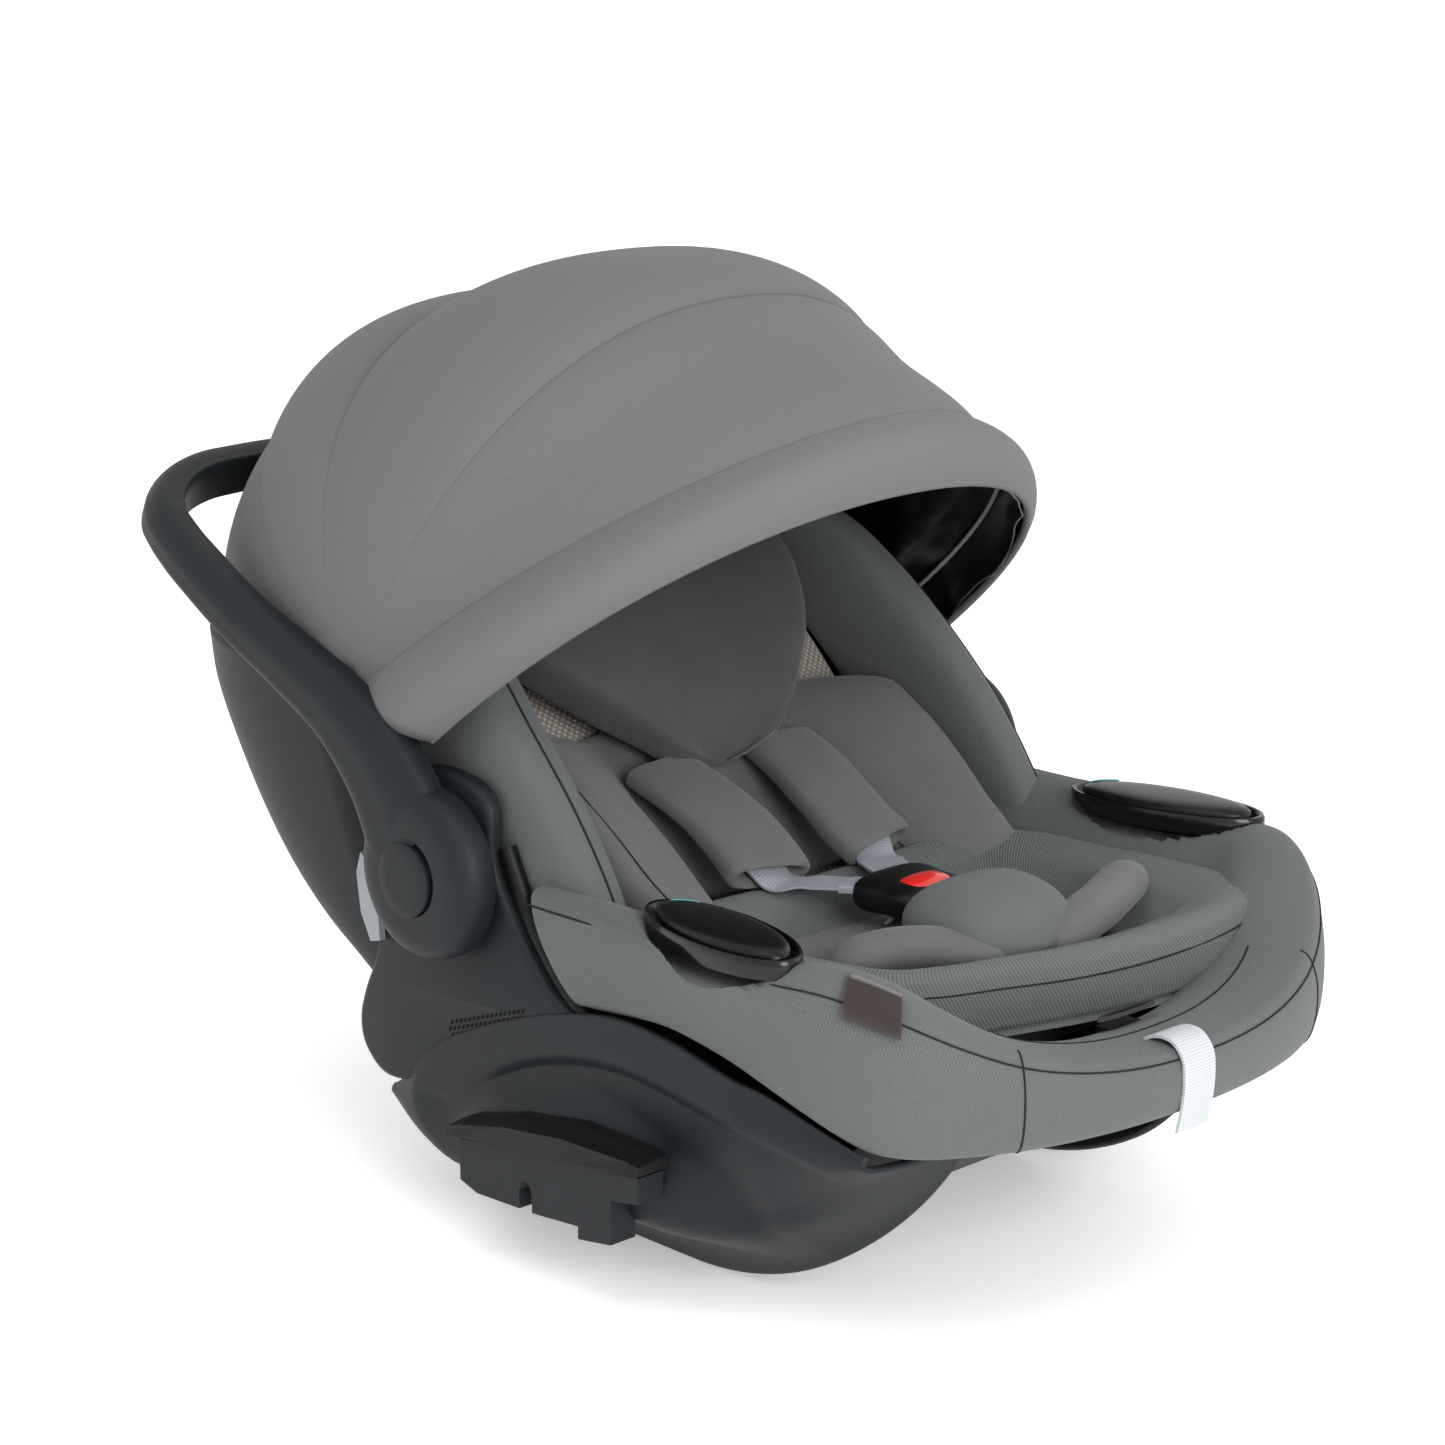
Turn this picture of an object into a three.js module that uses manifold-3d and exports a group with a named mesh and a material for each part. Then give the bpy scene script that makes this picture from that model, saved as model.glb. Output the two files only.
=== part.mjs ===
// Infant car seat (rear-facing carrier): moulded shell with rockers, swinging carry handle,
// folding canopy, padded seat with a newborn insert and a five-point harness.
// Millimetres, +Z up, -Y towards the child's feet, +X towards the child's left.
// The origin is on the floor, under the middle of the bounding box.
import * as THREE from "three";
import { mergeVertices } from "three/addons/utils/BufferGeometryUtils.js";
import Module from "manifold-3d";

const wasm = await Module();
wasm.setup();

// ---------------------------------------------------------------- driving dimensions
const CENTRE_Y = 0.585;           // shifts the design axes so that the bounding box is centred
const GAP = 0.4;                  // clearance between touching pieces
const SKIN = 4;                   // wall of the moulded shells

const SHELL_HALF = 187;           // half width of the back shell
const PANEL_HALF = 190;           // half width of the side panels at their top edge
const POST_INNER = 183;           // hub post plates
const POST_OUTER = 192.5;
const RUNNER_INNER = 108;         // rockers
const RUNNER_OUTER = 122;
const RUNNER_REAR = 78;           // flat contact length of the rockers, rear end
const RUNNER_FRONT = -88;         // and front end, where the rocking arc starts
const ROCKER_RADIUS = 190;

const HUB = { y: 30, z: 207, radius: 47, inner: 198, outer: 220 };
const HUB_BUTTON = { y: 33, z: 205, radius: 20.5, travel: 5 };
const BAR = { y: 317, z: 378, depth: 25, half: 118 };

const CANOPY_PIVOT = { y: 107, z: 287 };
const CANOPY_SKIN = 3;

const RIM = { half: 185, centre: -190, depth: 130, power: 2.3, rear: -46 };
const BIGHT = { y: -31, z: 150 }; // where seat and backrest meet
const SLOPE = Math.PI / 4;        // backrest angle from the horizontal

// ---------------------------------------------------------------- colours and finishes
const PLASTIC = { color: 0x2d3235, roughness: 0.55, metalness: 0 };
const GLOSS = { color: 0x0c0d0f, roughness: 0.18, metalness: 0 };
const HOOK_GREY = { color: 0x8f9698, roughness: 0.45, metalness: 0 };
const CANOPY_GREY = { color: 0x7f8182, roughness: 0.9, metalness: 0 };
const KNIT_GREY = { color: 0x6c7170, roughness: 0.95, metalness: 0 };
const SUEDE_GREY = { color: 0x666765, roughness: 0.95, metalness: 0 };
const MESH_BEIGE = { color: 0x9e988e, roughness: 0.9, metalness: 0 };
const FOAM = { color: 0x3a3c3e, roughness: 0.9, metalness: 0 };
const WEBBING = { color: 0xa8adb6, roughness: 0.6, metalness: 0 };
const PALE_WEBBING = { color: 0xccd2d5, roughness: 0.7, metalness: 0 };
const RED = { color: 0xe03c38, roughness: 0.35, metalness: 0 };
const TAG_BROWN = { color: 0x504644, roughness: 0.9, metalness: 0 };
const STEEL = { color: 0x9a9da0, roughness: 0.35, metalness: 1 };

const seat = new THREE.Group();
seat.position.y = CENTRE_Y;

function add(name, geometry, finish) {
  const mesh = new THREE.Mesh(geometry, new THREE.MeshStandardMaterial(finish));
  mesh.name = name;
  seat.add(mesh);
}

// Adds one piece on the left (+X) and its mirror image on the right (-X).
function addPair(name, makeGeometry, finish) {
  add(`${name}_left`, makeGeometry(1), finish);
  add(`${name}_right`, makeGeometry(-1), finish);
}

// ---------------------------------------------------------------- solid builders
const lerp = (a, b, t) => a + (b - a) * t;
const clamp01 = (t) => Math.min(1, Math.max(0, t));
const range = (count) => Array.from({ length: count }, (_, i) => i);

// Reads a smooth curve through [input, output] pairs, holding the end values outside them.
function curveThrough(pairs) {
  return (input) => {
    const last = pairs.length - 1;
    if (input <= pairs[0][0]) return pairs[0][1];
    if (input >= pairs[last][0]) return pairs[last][1];
    const i = pairs.findIndex((pair) => pair[0] > input) - 1;
    const [x0, y0] = pairs[i];
    const [x1, y1] = pairs[i + 1];
    const slope = (k) => {
      const a = pairs[Math.max(0, k - 1)];
      const b = pairs[Math.min(last, k + 1)];
      return (b[1] - a[1]) / (b[0] - a[0]);
    };
    const t = (input - x0) / (x1 - x0);
    const span = x1 - x0;
    const h00 = (1 + 2 * t) * (1 - t) ** 2;
    const h10 = t * (1 - t) ** 2;
    const h01 = t * t * (3 - 2 * t);
    const h11 = t * t * (t - 1);
    return h00 * y0 + h10 * span * slope(i) + h01 * y1 + h11 * span * slope(i + 1);
  };
}

// Closes a list of points and triangles into a body whose faces point out.
function closedGeometry(points, faces) {
  let volume = 0;
  for (const [a, b, c] of faces) {
    const [p, q, r] = [points[a], points[b], points[c]];
    volume += p[0] * (q[1] * r[2] - q[2] * r[1]) + p[1] * (q[2] * r[0] - q[0] * r[2])
      + p[2] * (q[0] * r[1] - q[1] * r[0]);
  }
  const turned = volume < 0 ? faces.map(([a, b, c]) => [a, c, b]) : faces;
  const geometry = new THREE.BufferGeometry();
  geometry.setAttribute("position", new THREE.Float32BufferAttribute(points.flat(), 3));
  geometry.setIndex(turned.flat());
  geometry.computeVertexNormals();
  return geometry;
}

// Triangles of one flat or nearly flat end ring, wound along the ring.
function capFaces(ring, offset) {
  const normal = [0, 0, 0];
  ring.forEach((p, i) => {
    const q = ring[(i + 1) % ring.length];
    normal[0] += (p[1] - q[1]) * (p[2] + q[2]);
    normal[1] += (p[2] - q[2]) * (p[0] + q[0]);
    normal[2] += (p[0] - q[0]) * (p[1] + q[1]);
  });
  const drop = normal.map(Math.abs).indexOf(Math.max(...normal.map(Math.abs)));
  const keep = [0, 1, 2].filter((axis) => axis !== drop);
  const flat = ring.map((p) => new THREE.Vector2(p[keep[0]], p[keep[1]]));
  const along = THREE.ShapeUtils.area(flat) > 0;
  return THREE.ShapeUtils.triangulateShape(flat, []).map(([a, b, c]) => {
    const same = THREE.ShapeUtils.area([flat[a], flat[b], flat[c]]) > 0 === along;
    return (same ? [a, b, c] : [a, c, b]).map((i) => i + offset);
  });
}

// A solid through a row of closed rings that all have the same number of points.
function loft(rings) {
  const count = rings[0].length;
  const faces = capFaces(rings[0], 0).map(([a, b, c]) => [a, c, b]);
  for (const i of range(rings.length - 1)) {
    for (const j of range(count)) {
      const a = i * count + j;
      const b = i * count + ((j + 1) % count);
      faces.push([a, b, b + count], [a, b + count, a + count]);
    }
  }
  faces.push(...capFaces(rings.at(-1), (rings.length - 1) * count));
  return closedGeometry(rings.flat(), faces);
}

// A sheet with thickness between an outer and an inner grid of points.
function slab(outer, inner) {
  const rows = outer.length;
  const cols = outer[0].length;
  const id = (side, i, j) => side * rows * cols + i * cols + j;
  const faces = [];
  const quad = (a, b, c, d) => faces.push([a, b, c], [a, c, d]);
  for (const i of range(rows - 1)) {
    for (const j of range(cols - 1)) {
      quad(id(0, i, j), id(0, i, j + 1), id(0, i + 1, j + 1), id(0, i + 1, j));
      quad(id(1, i, j), id(1, i + 1, j), id(1, i + 1, j + 1), id(1, i, j + 1));
    }
  }
  const border = [
    ...range(cols - 1).map((j) => [0, j]),
    ...range(rows - 1).map((i) => [i, cols - 1]),
    ...range(cols - 1).map((j) => [rows - 1, cols - 1 - j]),
    ...range(rows - 1).map((i) => [rows - 1 - i, 0]),
  ];
  border.forEach(([i, j], k) => {
    const [p, q] = border[(k + 1) % border.length];
    quad(id(0, p, q), id(0, i, j), id(1, i, j), id(1, p, q));
  });
  return closedGeometry([...outer.flat(), ...inner.flat()], faces);
}

// A side-view outline in Y and Z, run across from x0 to x1.
function acrossX(outline, x0, x1) {
  return loft([x0, x1].map((x) => outline.map(([y, z]) => [x, y, z])));
}

// A box between two corners.
function block(x0, x1, y0, y1, z0, z1) {
  const geometry = new THREE.BoxGeometry(Math.abs(x1 - x0), y1 - y0, z1 - z0);
  return geometry.translate((x0 + x1) / 2, (y0 + y1) / 2, (z0 + z1) / 2);
}

// A turned piece on an axis along X: pairs of [x, radius], centred on (y, z).
function turnedX(profile, y, z, sides = 24) {
  const points = profile.map(([x, radius]) => new THREE.Vector2(radius, x));
  const geometry = new THREE.LatheGeometry(points, sides);
  return geometry.rotateZ(-Math.PI / 2).translate(0, y, z);
}

// Mirrors a turned profile for the right-hand side, keeping it in order of rising x.
const sided = (side, profile) => (side > 0 ? profile : profile.map(([x, r]) => [-x, r]).reverse());

function rod(x0, x1, radius, y, z, sides = 16) {
  const [a, b] = [Math.min(x0, x1), Math.max(x0, x1)];
  return turnedX([[a, 0], [a, radius], [b, radius], [b, 0]], y, z, sides);
}

function toManifold(geometry) {
  const bare = geometry.clone();
  bare.deleteAttribute("normal");
  bare.deleteAttribute("uv");
  const merged = mergeVertices(bare, 1e-4);
  const triangles = [];
  const index = merged.index.array;
  for (let i = 0; i < index.length; i += 3) {
    const [a, b, c] = [index[i], index[i + 1], index[i + 2]];
    if (a !== b && b !== c && c !== a) triangles.push(a, b, c);
  }
  return new wasm.Manifold(new wasm.Mesh({
    numProp: 3,
    vertProperties: new Float32Array(merged.attributes.position.array),
    triVerts: new Uint32Array(triangles),
  }));
}

function fromManifold(solid) {
  const { vertProperties, triVerts } = solid.getMesh();
  const geometry = new THREE.BufferGeometry();
  geometry.setAttribute("position", new THREE.Float32BufferAttribute(Array.from(vertProperties), 3));
  geometry.setIndex(Array.from(triVerts));
  geometry.computeVertexNormals();
  return geometry;
}

function join(first, ...others) {
  return fromManifold(others.reduce((sum, other) => sum.add(toManifold(other)), toManifold(first)));
}

function cut(body, ...tools) {
  return fromManifold(tools.reduce((rest, tool) => rest.subtract(toManifold(tool)), toManifold(body)));
}

// ---------------------------------------------------------------- moulded shell
// Heights of the rocker's lower edge and of the side panel's top edge along the seat.
function rockerBottom(y) {
  if (y < RUNNER_FRONT) return ROCKER_RADIUS - Math.sqrt(ROCKER_RADIUS ** 2 - (y - RUNNER_FRONT) ** 2);
  if (y > RUNNER_REAR) return (y - RUNNER_REAR) ** 2 / 40;
  return 0;
}
const panelTop = curveThrough([
  [-258, 116], [-231, 128], [-203, 140], [-175, 146], [-146, 152], [-102, 155],
  [-62, 148], [-24, 136], [9, 122], [43, 104], [67, 82], [84, 70], [96, 62],
]);
const PANEL_STATIONS = [
  -258, -240, -218, -196, -170, -140, -110, RUNNER_FRONT, -50, -15, 20, 50, 64, RUNNER_REAR, 96,
];

// One crescent side panel: a creased outer face that turns in to the rocker.
function sidePanel(side) {
  const section = (y, inset) => {
    const top = panelTop(y);
    const bottom = rockerBottom(y);
    const height = top - bottom;
    const half = PANEL_HALF - Math.max(0, -190 - y) * 0.3 - Math.max(0, y - 60) * 0.35 - inset;
    return [
      [half, top],
      [half + 2, top - 0.2 * height],
      [half - 9, top - 0.5 * height],
      [half - 32, top - 0.76 * height],
      [RUNNER_OUTER + 6 - inset, top - 0.95 * height],
      [RUNNER_OUTER - inset, bottom],
    ].map(([x, z]) => [side * x, y, z]);
  };
  const inner = (y) => {
    const ring = section(y, SKIN);
    ring[5] = [side * RUNNER_INNER, y, rockerBottom(y)];
    ring[4] = [side * (RUNNER_INNER + 4), y, lerp(panelTop(y), rockerBottom(y), 0.88)];
    return ring;
  };
  return slab(PANEL_STATIONS.map((y) => section(y, 0)), PANEL_STATIONS.map(inner));
}

// The tub between the rockers, open at the top and closed at the heel.
const TUB_HALF = 155;
const tubFloor = curveThrough([
  [-283, 128], [-250, 112], [-200, 62], [-150, 34], [-90, 20], [0, 14], [90, 16], [130, 34], [150, 70], [156, 100],
]);
const tubRim = curveThrough([[-283, 146], [-240, 152], [-190, 160], [-60, 150], [60, 134], [120, 124], [156, 116]]);
const TUB_STATIONS = [-283, -268, -245, -215, -180, -140, -90, -40, 10, 60, 100, 130, 148, 156];

function tubHalf(y) {
  if (y < RIM.centre) {
    const reach = (RIM.centre - y) / (RIM.depth - 29);
    return TUB_HALF * (1 - reach ** RIM.power) ** (1 / RIM.power);
  }
  return TUB_HALF - Math.max(0, y - 60) * 0.18;
}

function lowerShell() {
  const half = [[1, 0], [0.98, 0.35], [0.9, 0.7], [0.67, 0.94], [0.34, 1], [0, 1]];
  const section = (y, inset) => {
    const width = tubHalf(y) - inset;
    const top = tubRim(y);
    const floor = tubFloor(y) + inset;
    const right = half.map(([w, f]) => [-width * w, y, lerp(top, floor, f)]);
    const left = half.slice(0, -1).reverse().map(([w, f]) => [width * w, y, lerp(top, floor, f)]);
    return [...right, ...left];
  };
  return slab(TUB_STATIONS.map((y) => section(y, 0)), TUB_STATIONS.map((y) => section(y, SKIN)));
}

// The back shell: a U round the back, leaning with the backrest.
const SHELL_FRONT_EDGE = [[68, 134], [80, 160], [91, 185], [100, 210], [108, 234], [114, 252], [121, 263]];
const SHELL_REAR_EDGE = [[126, 132], [171, 149], [207, 171], [239, 201], [268, 238], [284, 262], [290, 280]];
const SHELL_POWER = 4;
const SHELL_REAR_AT = 0.84;       // how far round the U the rear edge points are given

function backShell() {
  const around = range(17).map((i) => (Math.PI * i) / 16);
  const grid = (inset) => around.map((angle) => {
    const across = -Math.sign(Math.cos(angle)) * Math.abs(Math.cos(angle)) ** (2 / SHELL_POWER);
    const back = Math.sin(angle) ** (2 / SHELL_POWER);
    return SHELL_FRONT_EDGE.map(([fy, fz], j) => {
      const [ry, rz] = SHELL_REAR_EDGE[j];
      const reach = (back / SHELL_REAR_AT) * (1 - inset / (ry - fy));
      const taper = 1 - 0.012 * j * back;
      return [(SHELL_HALF - inset) * across * taper, lerp(fy, ry, reach), lerp(fz, rz, reach)];
    });
  });
  return slab(grid(0), grid(SKIN));
}

// Side plate that carries the handle hub, between the side panel and the back shell.
const POST_OUTLINE = [
  [-92, 160], [-52, 205], [-27, 239], [0, 254], [60, 261], [112, 261], [99, 215], [82, 170], [66, 134],
  [78, 118], [88, 98], [84, 82], [68, 88], [43, 107], [9, 125], [-24, 139], [-62, 151],
];
const hubHole = (side) => rod(side * (POST_INNER - 5), side * (HUB.inner + 1), 6.4, HUB.y, HUB.z);

function hubPost(side) {
  return cut(acrossX(POST_OUTLINE, side * POST_INNER, side * POST_OUTER), hubHole(side));
}

// Cap and block of the stroller adaptor that stands out of each side panel.
const ADAPTOR = { rear: 8, front: -142, inner: 194, outer: 214, split: 79 };

function adaptorCap(side) {
  const { rear, front, inner, outer, split } = ADAPTOR;
  const lean = (y) => (rear - y) * 0.12;
  const rings = [0, 0.06, 0.3, 0.6, 0.94, 1].map((t) => {
    const y = lerp(rear, front, t);
    const crown = 16 * Math.sqrt(Math.max(0.04, Math.sin(Math.PI * clamp01(t * 0.9 + 0.05))));
    const base = split - 10 + lean(y);
    return [[inner, base], [outer + 2, base], [outer, base + crown * 0.7], [inner + 8, base + crown],
      [inner, base + crown]].map(([x, z]) => [side * x, y, z]);
  });
  return loft(rings);
}

function adaptorBlock(side) {
  const { inner, outer } = ADAPTOR;
  const outline = [[2, 67], [2, 44], [-12, 40], [-60, 42], [-92, 45], [-92, 38], [-117, 42], [-117, 66],
    [-138, 70], [-138, 84], [-60, 75.5]];
  const slot = [[-46, 52], [-46, 34], [-56, 34], [-56, 52], [-54, 56], [-51, 58], [-48, 56]];
  return cut(acrossX(outline, side * inner, side * (outer - 3)),
    acrossX(slot, side * (inner - 1), side * (outer + 1)));
}

// Light grey belt hook on the side of the back shell, behind the hub.
function beltGuide(side) {
  const outline = [[84, 155], [92, 153], [100, 168], [103, 190], [99, 202], [90, 196], [85, 176]];
  return acrossX(outline, side * (POST_OUTER + GAP), side * (POST_OUTER + 4.6));
}

// ---------------------------------------------------------------- carry handle
const HANDLE_PATH = [[HUB.y + 8, 218], [58, 250], [94, 280], [141, 301], [186, 318], [226, 336], [252, 348]];
const ARM_DEPTH = [66, 56, 40, 32, 29, 28, 27];
const ARM_TOE_IN = [0, 0, 0, 1, 3, 6, 9];
const ARM_WIDTH = 22;

// Ring of a rounded bar section: width across, depth in the plane of the arm.
function barRing(centre, widthAxis, depthAxis, width, depth) {
  return range(12).map((i) => {
    const angle = (2 * Math.PI * i) / 12;
    const power = 2 / 2.8;
    const w = Math.sign(Math.cos(angle)) * Math.abs(Math.cos(angle)) ** power * width / 2;
    const d = Math.sign(Math.sin(angle)) * Math.abs(Math.sin(angle)) ** power * depth / 2;
    return centre.map((value, axis) => value + widthAxis[axis] * w + depthAxis[axis] * d);
  });
}

function handleArm(side) {
  const last = HANDLE_PATH.length - 1;
  const rings = HANDLE_PATH.map(([y, z], i) => {
    const [y0, z0] = i === last ? [y, z] : HANDLE_PATH[Math.max(0, i - 1)];
    const [y1, z1] = i === last ? [BAR.y, BAR.z] : HANDLE_PATH[i + 1];
    const length = Math.hypot(y1 - y0, z1 - z0);
    const depthAxis = [0, -(z1 - z0) / length, (y1 - y0) / length];
    const centre = [side * (HUB.inner + ARM_WIDTH / 2 - ARM_TOE_IN[i]), y, z];
    return barRing(centre, [1, 0, 0], depthAxis, ARM_WIDTH, ARM_DEPTH[i]);
  });
  const disc = turnedX(sided(side, [
    [HUB.inner, 0], [HUB.inner, HUB.radius], [HUB.outer - 5, HUB.radius], [HUB.outer, HUB.radius - 6],
    [HUB.outer, 0],
  ]), HUB.y, HUB.z, 32);
  const buttonBore = rod(side * (HUB.inner + 9), side * (HUB.outer + 2),
    HUB_BUTTON.radius + GAP, HUB_BUTTON.y, HUB_BUTTON.z, 24);
  const boltBore = rod(side * (HUB.inner - 2), side * (HUB.inner + 6), 6.4, HUB.y, HUB.z);
  return cut(join(loft(rings), disc), buttonBore, boltBore);
}

function handleBar() {
  const { half, y, z, depth } = BAR;
  const [startY, startZ] = HANDLE_PATH.at(-1);
  const armX = HUB.inner + ARM_WIDTH / 2 - ARM_TOE_IN.at(-1);
  const reach = Math.hypot(y - startY, z - startZ);
  const along = [0, (y - startY) / reach, (z - startZ) / reach];
  const up = [0, -along[2], along[1]];
  const corner = (side) => range(7).map((i) => {
    const angle = (Math.PI / 2) * (i / 6);
    const back = Math.sin(angle) * reach + (i === 0 ? GAP : 0);
    const x = side * lerp(half, armX, Math.cos(angle));
    const widthAxis = [Math.cos(angle), along[1] * Math.sin(angle) * side, along[2] * Math.sin(angle) * side];
    return barRing([x, startY + along[1] * back, startZ + along[2] * back],
      widthAxis, up, lerp(ARM_WIDTH, depth, i / 6), lerp(ARM_DEPTH.at(-1), depth, i / 6));
  });
  const right = corner(-1);
  const left = corner(1).reverse().map((ring) => range(12).map((i) => ring[(18 - i) % 12]));
  return loft([...right, ...left]);
}

const hubButton = (side) => rod(side * (HUB.outer - 7), side * (HUB.outer + 1.5),
  HUB_BUTTON.radius, HUB_BUTTON.y, HUB_BUTTON.z, 24);
const lockGear = (side) => cut(
  rod(side * (POST_OUTER + GAP), side * (HUB.inner - GAP), 30, HUB.y, HUB.z, 20), hubHole(side));
const pivotBolt = (side) => rod(side * (POST_INNER - 1), side * (HUB.inner + 5.5), 6, HUB.y, HUB.z);

// ---------------------------------------------------------------- canopy
// Each bow is an arch in a plane through the pivot axis; angle 0 points back, 90 degrees up.
const CANOPY_STEPS = 18;
const CANOPY_POWER = 2.4;         // how square the arches are
const VISOR_POWER = 2.05;         // the front bow is rounder
const ARCH_START = 0.07;          // leaves the pivot itself free

function archPoint(step, angle, half, radius, base = CANOPY_PIVOT, squareness = CANOPY_POWER) {
  const t = lerp(ARCH_START, Math.PI - ARCH_START, step / CANOPY_STEPS);
  const power = 2 / squareness;
  const x = -Math.sign(Math.cos(t)) * Math.abs(Math.cos(t)) ** power * half;
  const r = Math.sin(t) ** power * radius;
  const a = THREE.MathUtils.degToRad(angle);
  return [x, base.y + r * Math.cos(a), base.z + r * Math.sin(a)];
}

// A canopy section between two bow angles; radiusAt gives its height over the pivot axis.
const squarenessAt = (angle) => lerp(CANOPY_POWER, VISOR_POWER, clamp01((angle - 116) / 27.7));

function canopySection({ from, to, half, radius: radiusAt }, rows = 5) {
  const grid = (inset) => range(rows + 1).map((i) => {
    const angle = lerp(from, to, i / rows);
    return range(CANOPY_STEPS + 1).map((j) =>
      archPoint(j, angle, half - inset, radiusAt(angle) - inset, CANOPY_PIVOT, squarenessAt(angle)));
  });
  return slab(grid(0), grid(CANOPY_SKIN));
}

const REAR_SECTION = { from: 5, to: 70.6, half: 183, radius: () => 207 };
const MID_SECTION = {
  from: 73.4, to: 113.4, half: 187.6, radius: (a) => lerp(211.5, 226, clamp01((a - 73) / 43)),
};
const FRONT_SECTION = {
  from: 116, to: 142.4, half: 194.6, radius: (a) => lerp(234, 278, clamp01((a - 116) / 28.5)),
};
const VISOR_BASE = { y: 45, z: 270 };
const VISOR_EDGE = { angle: 141.5, radius: 222, half: 196.4 };

function bow(section, angle) {
  const radius = section.radius(angle);
  const grid = (inset) => [angle - 0.9, angle + 0.9].map((a) =>
    range(CANOPY_STEPS + 1).map((j) =>
      archPoint(j, a, section.half - inset, radius - inset, CANOPY_PIVOT, squarenessAt(angle))));
  return slab(grid(0), grid(CANOPY_SKIN));
}

// The visor runs from the front bow to a free edge that sits lower and further forward.
function visor() {
  const grid = (inset) => range(4).map((i) => range(CANOPY_STEPS + 1).map((j) => {
    const top = archPoint(j, 145, FRONT_SECTION.half + 0.3 - inset, 280 - inset, CANOPY_PIVOT, VISOR_POWER);
    const edge = archPoint(j, VISOR_EDGE.angle, VISOR_EDGE.half - inset, VISOR_EDGE.radius - inset, VISOR_BASE);
    return top.map((value, axis) => lerp(value, edge[axis], i / 3));
  }));
  return slab(grid(0), grid(CANOPY_SKIN));
}

// Socket plate and pin that carry the bows, fixed to the inside of the hub post.
function canopyMount(side) {
  const { y, z } = CANOPY_PIVOT;
  const outline = [[84, 244], [112, 244], [y + 12, z], [y + 8, z + 9], [y, z + 12], [y - 8, z + 9], [y - 12, z]];
  const plate = acrossX(outline, side * 176, side * 180.4);
  return join(plate, rod(side * 178, side * 195, 5, y, z, 12));
}

// ---------------------------------------------------------------- padded rim
// Plan of the rim's crest: straight sides (s below 0 or above 1), then a full curve round the feet.
function rimPoint(s) {
  if (s < 0) return [-RIM.half, RIM.centre - s * (RIM.rear - RIM.centre)];
  if (s > 1) return [RIM.half, RIM.centre + (s - 1) * (RIM.rear - RIM.centre)];
  const c = Math.cos(Math.PI * s);
  const power = 2 / RIM.power;
  const x = -Math.sign(c) * Math.abs(c) ** power * RIM.half;
  return [x, RIM.centre - Math.abs(Math.sin(Math.PI * s)) ** power * RIM.depth];
}

const HEM_CLEARANCE = 2;

// Heights of the rim's crest and hem: level along the sides, lower round the feet.
const crestHeight = curveThrough([
  [-320, 153], [-314, 158], [-303, 165], [-286, 177], [-266, 192], [-243, 203], [-205, 207],
]);
const hemHeight = curveThrough([
  [-320, 116], [-295, 115], [-266, 115], [-256, 117], [-244, 123], [-227, 132], [-203, 142], [-146, 153], [-60, 150],
]);
const RIM_SECTION = [
  [-3, 1], [5, 0.93], [10, 0.62], [9, 0.27], [3, 0.02], [-8, 0.02], [-20, 0.3], [-25, 0.6], [-22, 0.86], [-12, 0.98],
];

function rimPad(from, to, count) {
  const rings = range(count + 1).map((i) => {
    const s = lerp(from, to, i / count);
    const [x, y] = rimPoint(s);
    const [x0, y0] = rimPoint(s - 0.01);
    const [x1, y1] = rimPoint(s + 0.01);
    const length = Math.hypot(x1 - x0, y1 - y0);
    const out = [(y1 - y0) / length, -(x1 - x0) / length];
    const top = crestHeight(y);
    const low = hemHeight(y) + HEM_CLEARANCE;
    const slim = y < RIM.centre ? 0.7 + 0.3 * Math.abs(out[0]) : 1;
    return RIM_SECTION.map(([o, f]) => [x + out[0] * o * slim, y + out[1] * o * slim, lerp(low, top, f)]);
  });
  return loft(rings);
}
const SEAM_S = 0.31;              // rim position of the seam between side and front covers

// The release lever lies in an oval pocket sunk into the crest of each side cover.
const LEVER = { x: 174, y: -160, length: 100, width: 40, toe: 10, pocketTop: 214 };

function ovalSolid(profile, widthRatio, side) {
  const points = profile.map(([radius, z]) => new THREE.Vector2(radius, z));
  const geometry = new THREE.LatheGeometry(points, 24).rotateX(Math.PI / 2);
  const turned = geometry.scale(widthRatio, 1, 1);
  turned.rotateZ(THREE.MathUtils.degToRad(LEVER.toe) * side);
  return turned.translate(side * LEVER.x, LEVER.y, LEVER.pocketTop);
}

function leverPocket(side) {
  return ovalSolid([[0, -16], [48, -16], [57, -1], [57, 1.5], [53, 1.5], [45, -12], [0, -12]], 0.46, side);
}

const leverLid = (side) => ovalSolid([[0, -3], [46, -2], [50, 1], [46, 4.5], [26, 7.2], [0, 8]], 0.42, side);
const pocketRecess = (side) => ovalSolid([[0, -16.5], [48.6, -16.5], [57.8, -1], [57.8, 20], [0, 20]], 0.465, side);

function sideCover(side) {
  const whole = side < 0 ? rimPad(-1, SEAM_S, 13) : rimPad(1 - SEAM_S, 2, 13);
  const slope = [[-95, 120], [-95, 160], [-54, 206], [-54, 240], [0, 240], [0, 120]];
  const postFlank = acrossX(slope, side * 150, side * 205);
  return cut(whole, pocketRecess(side), postFlank);
}

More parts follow.
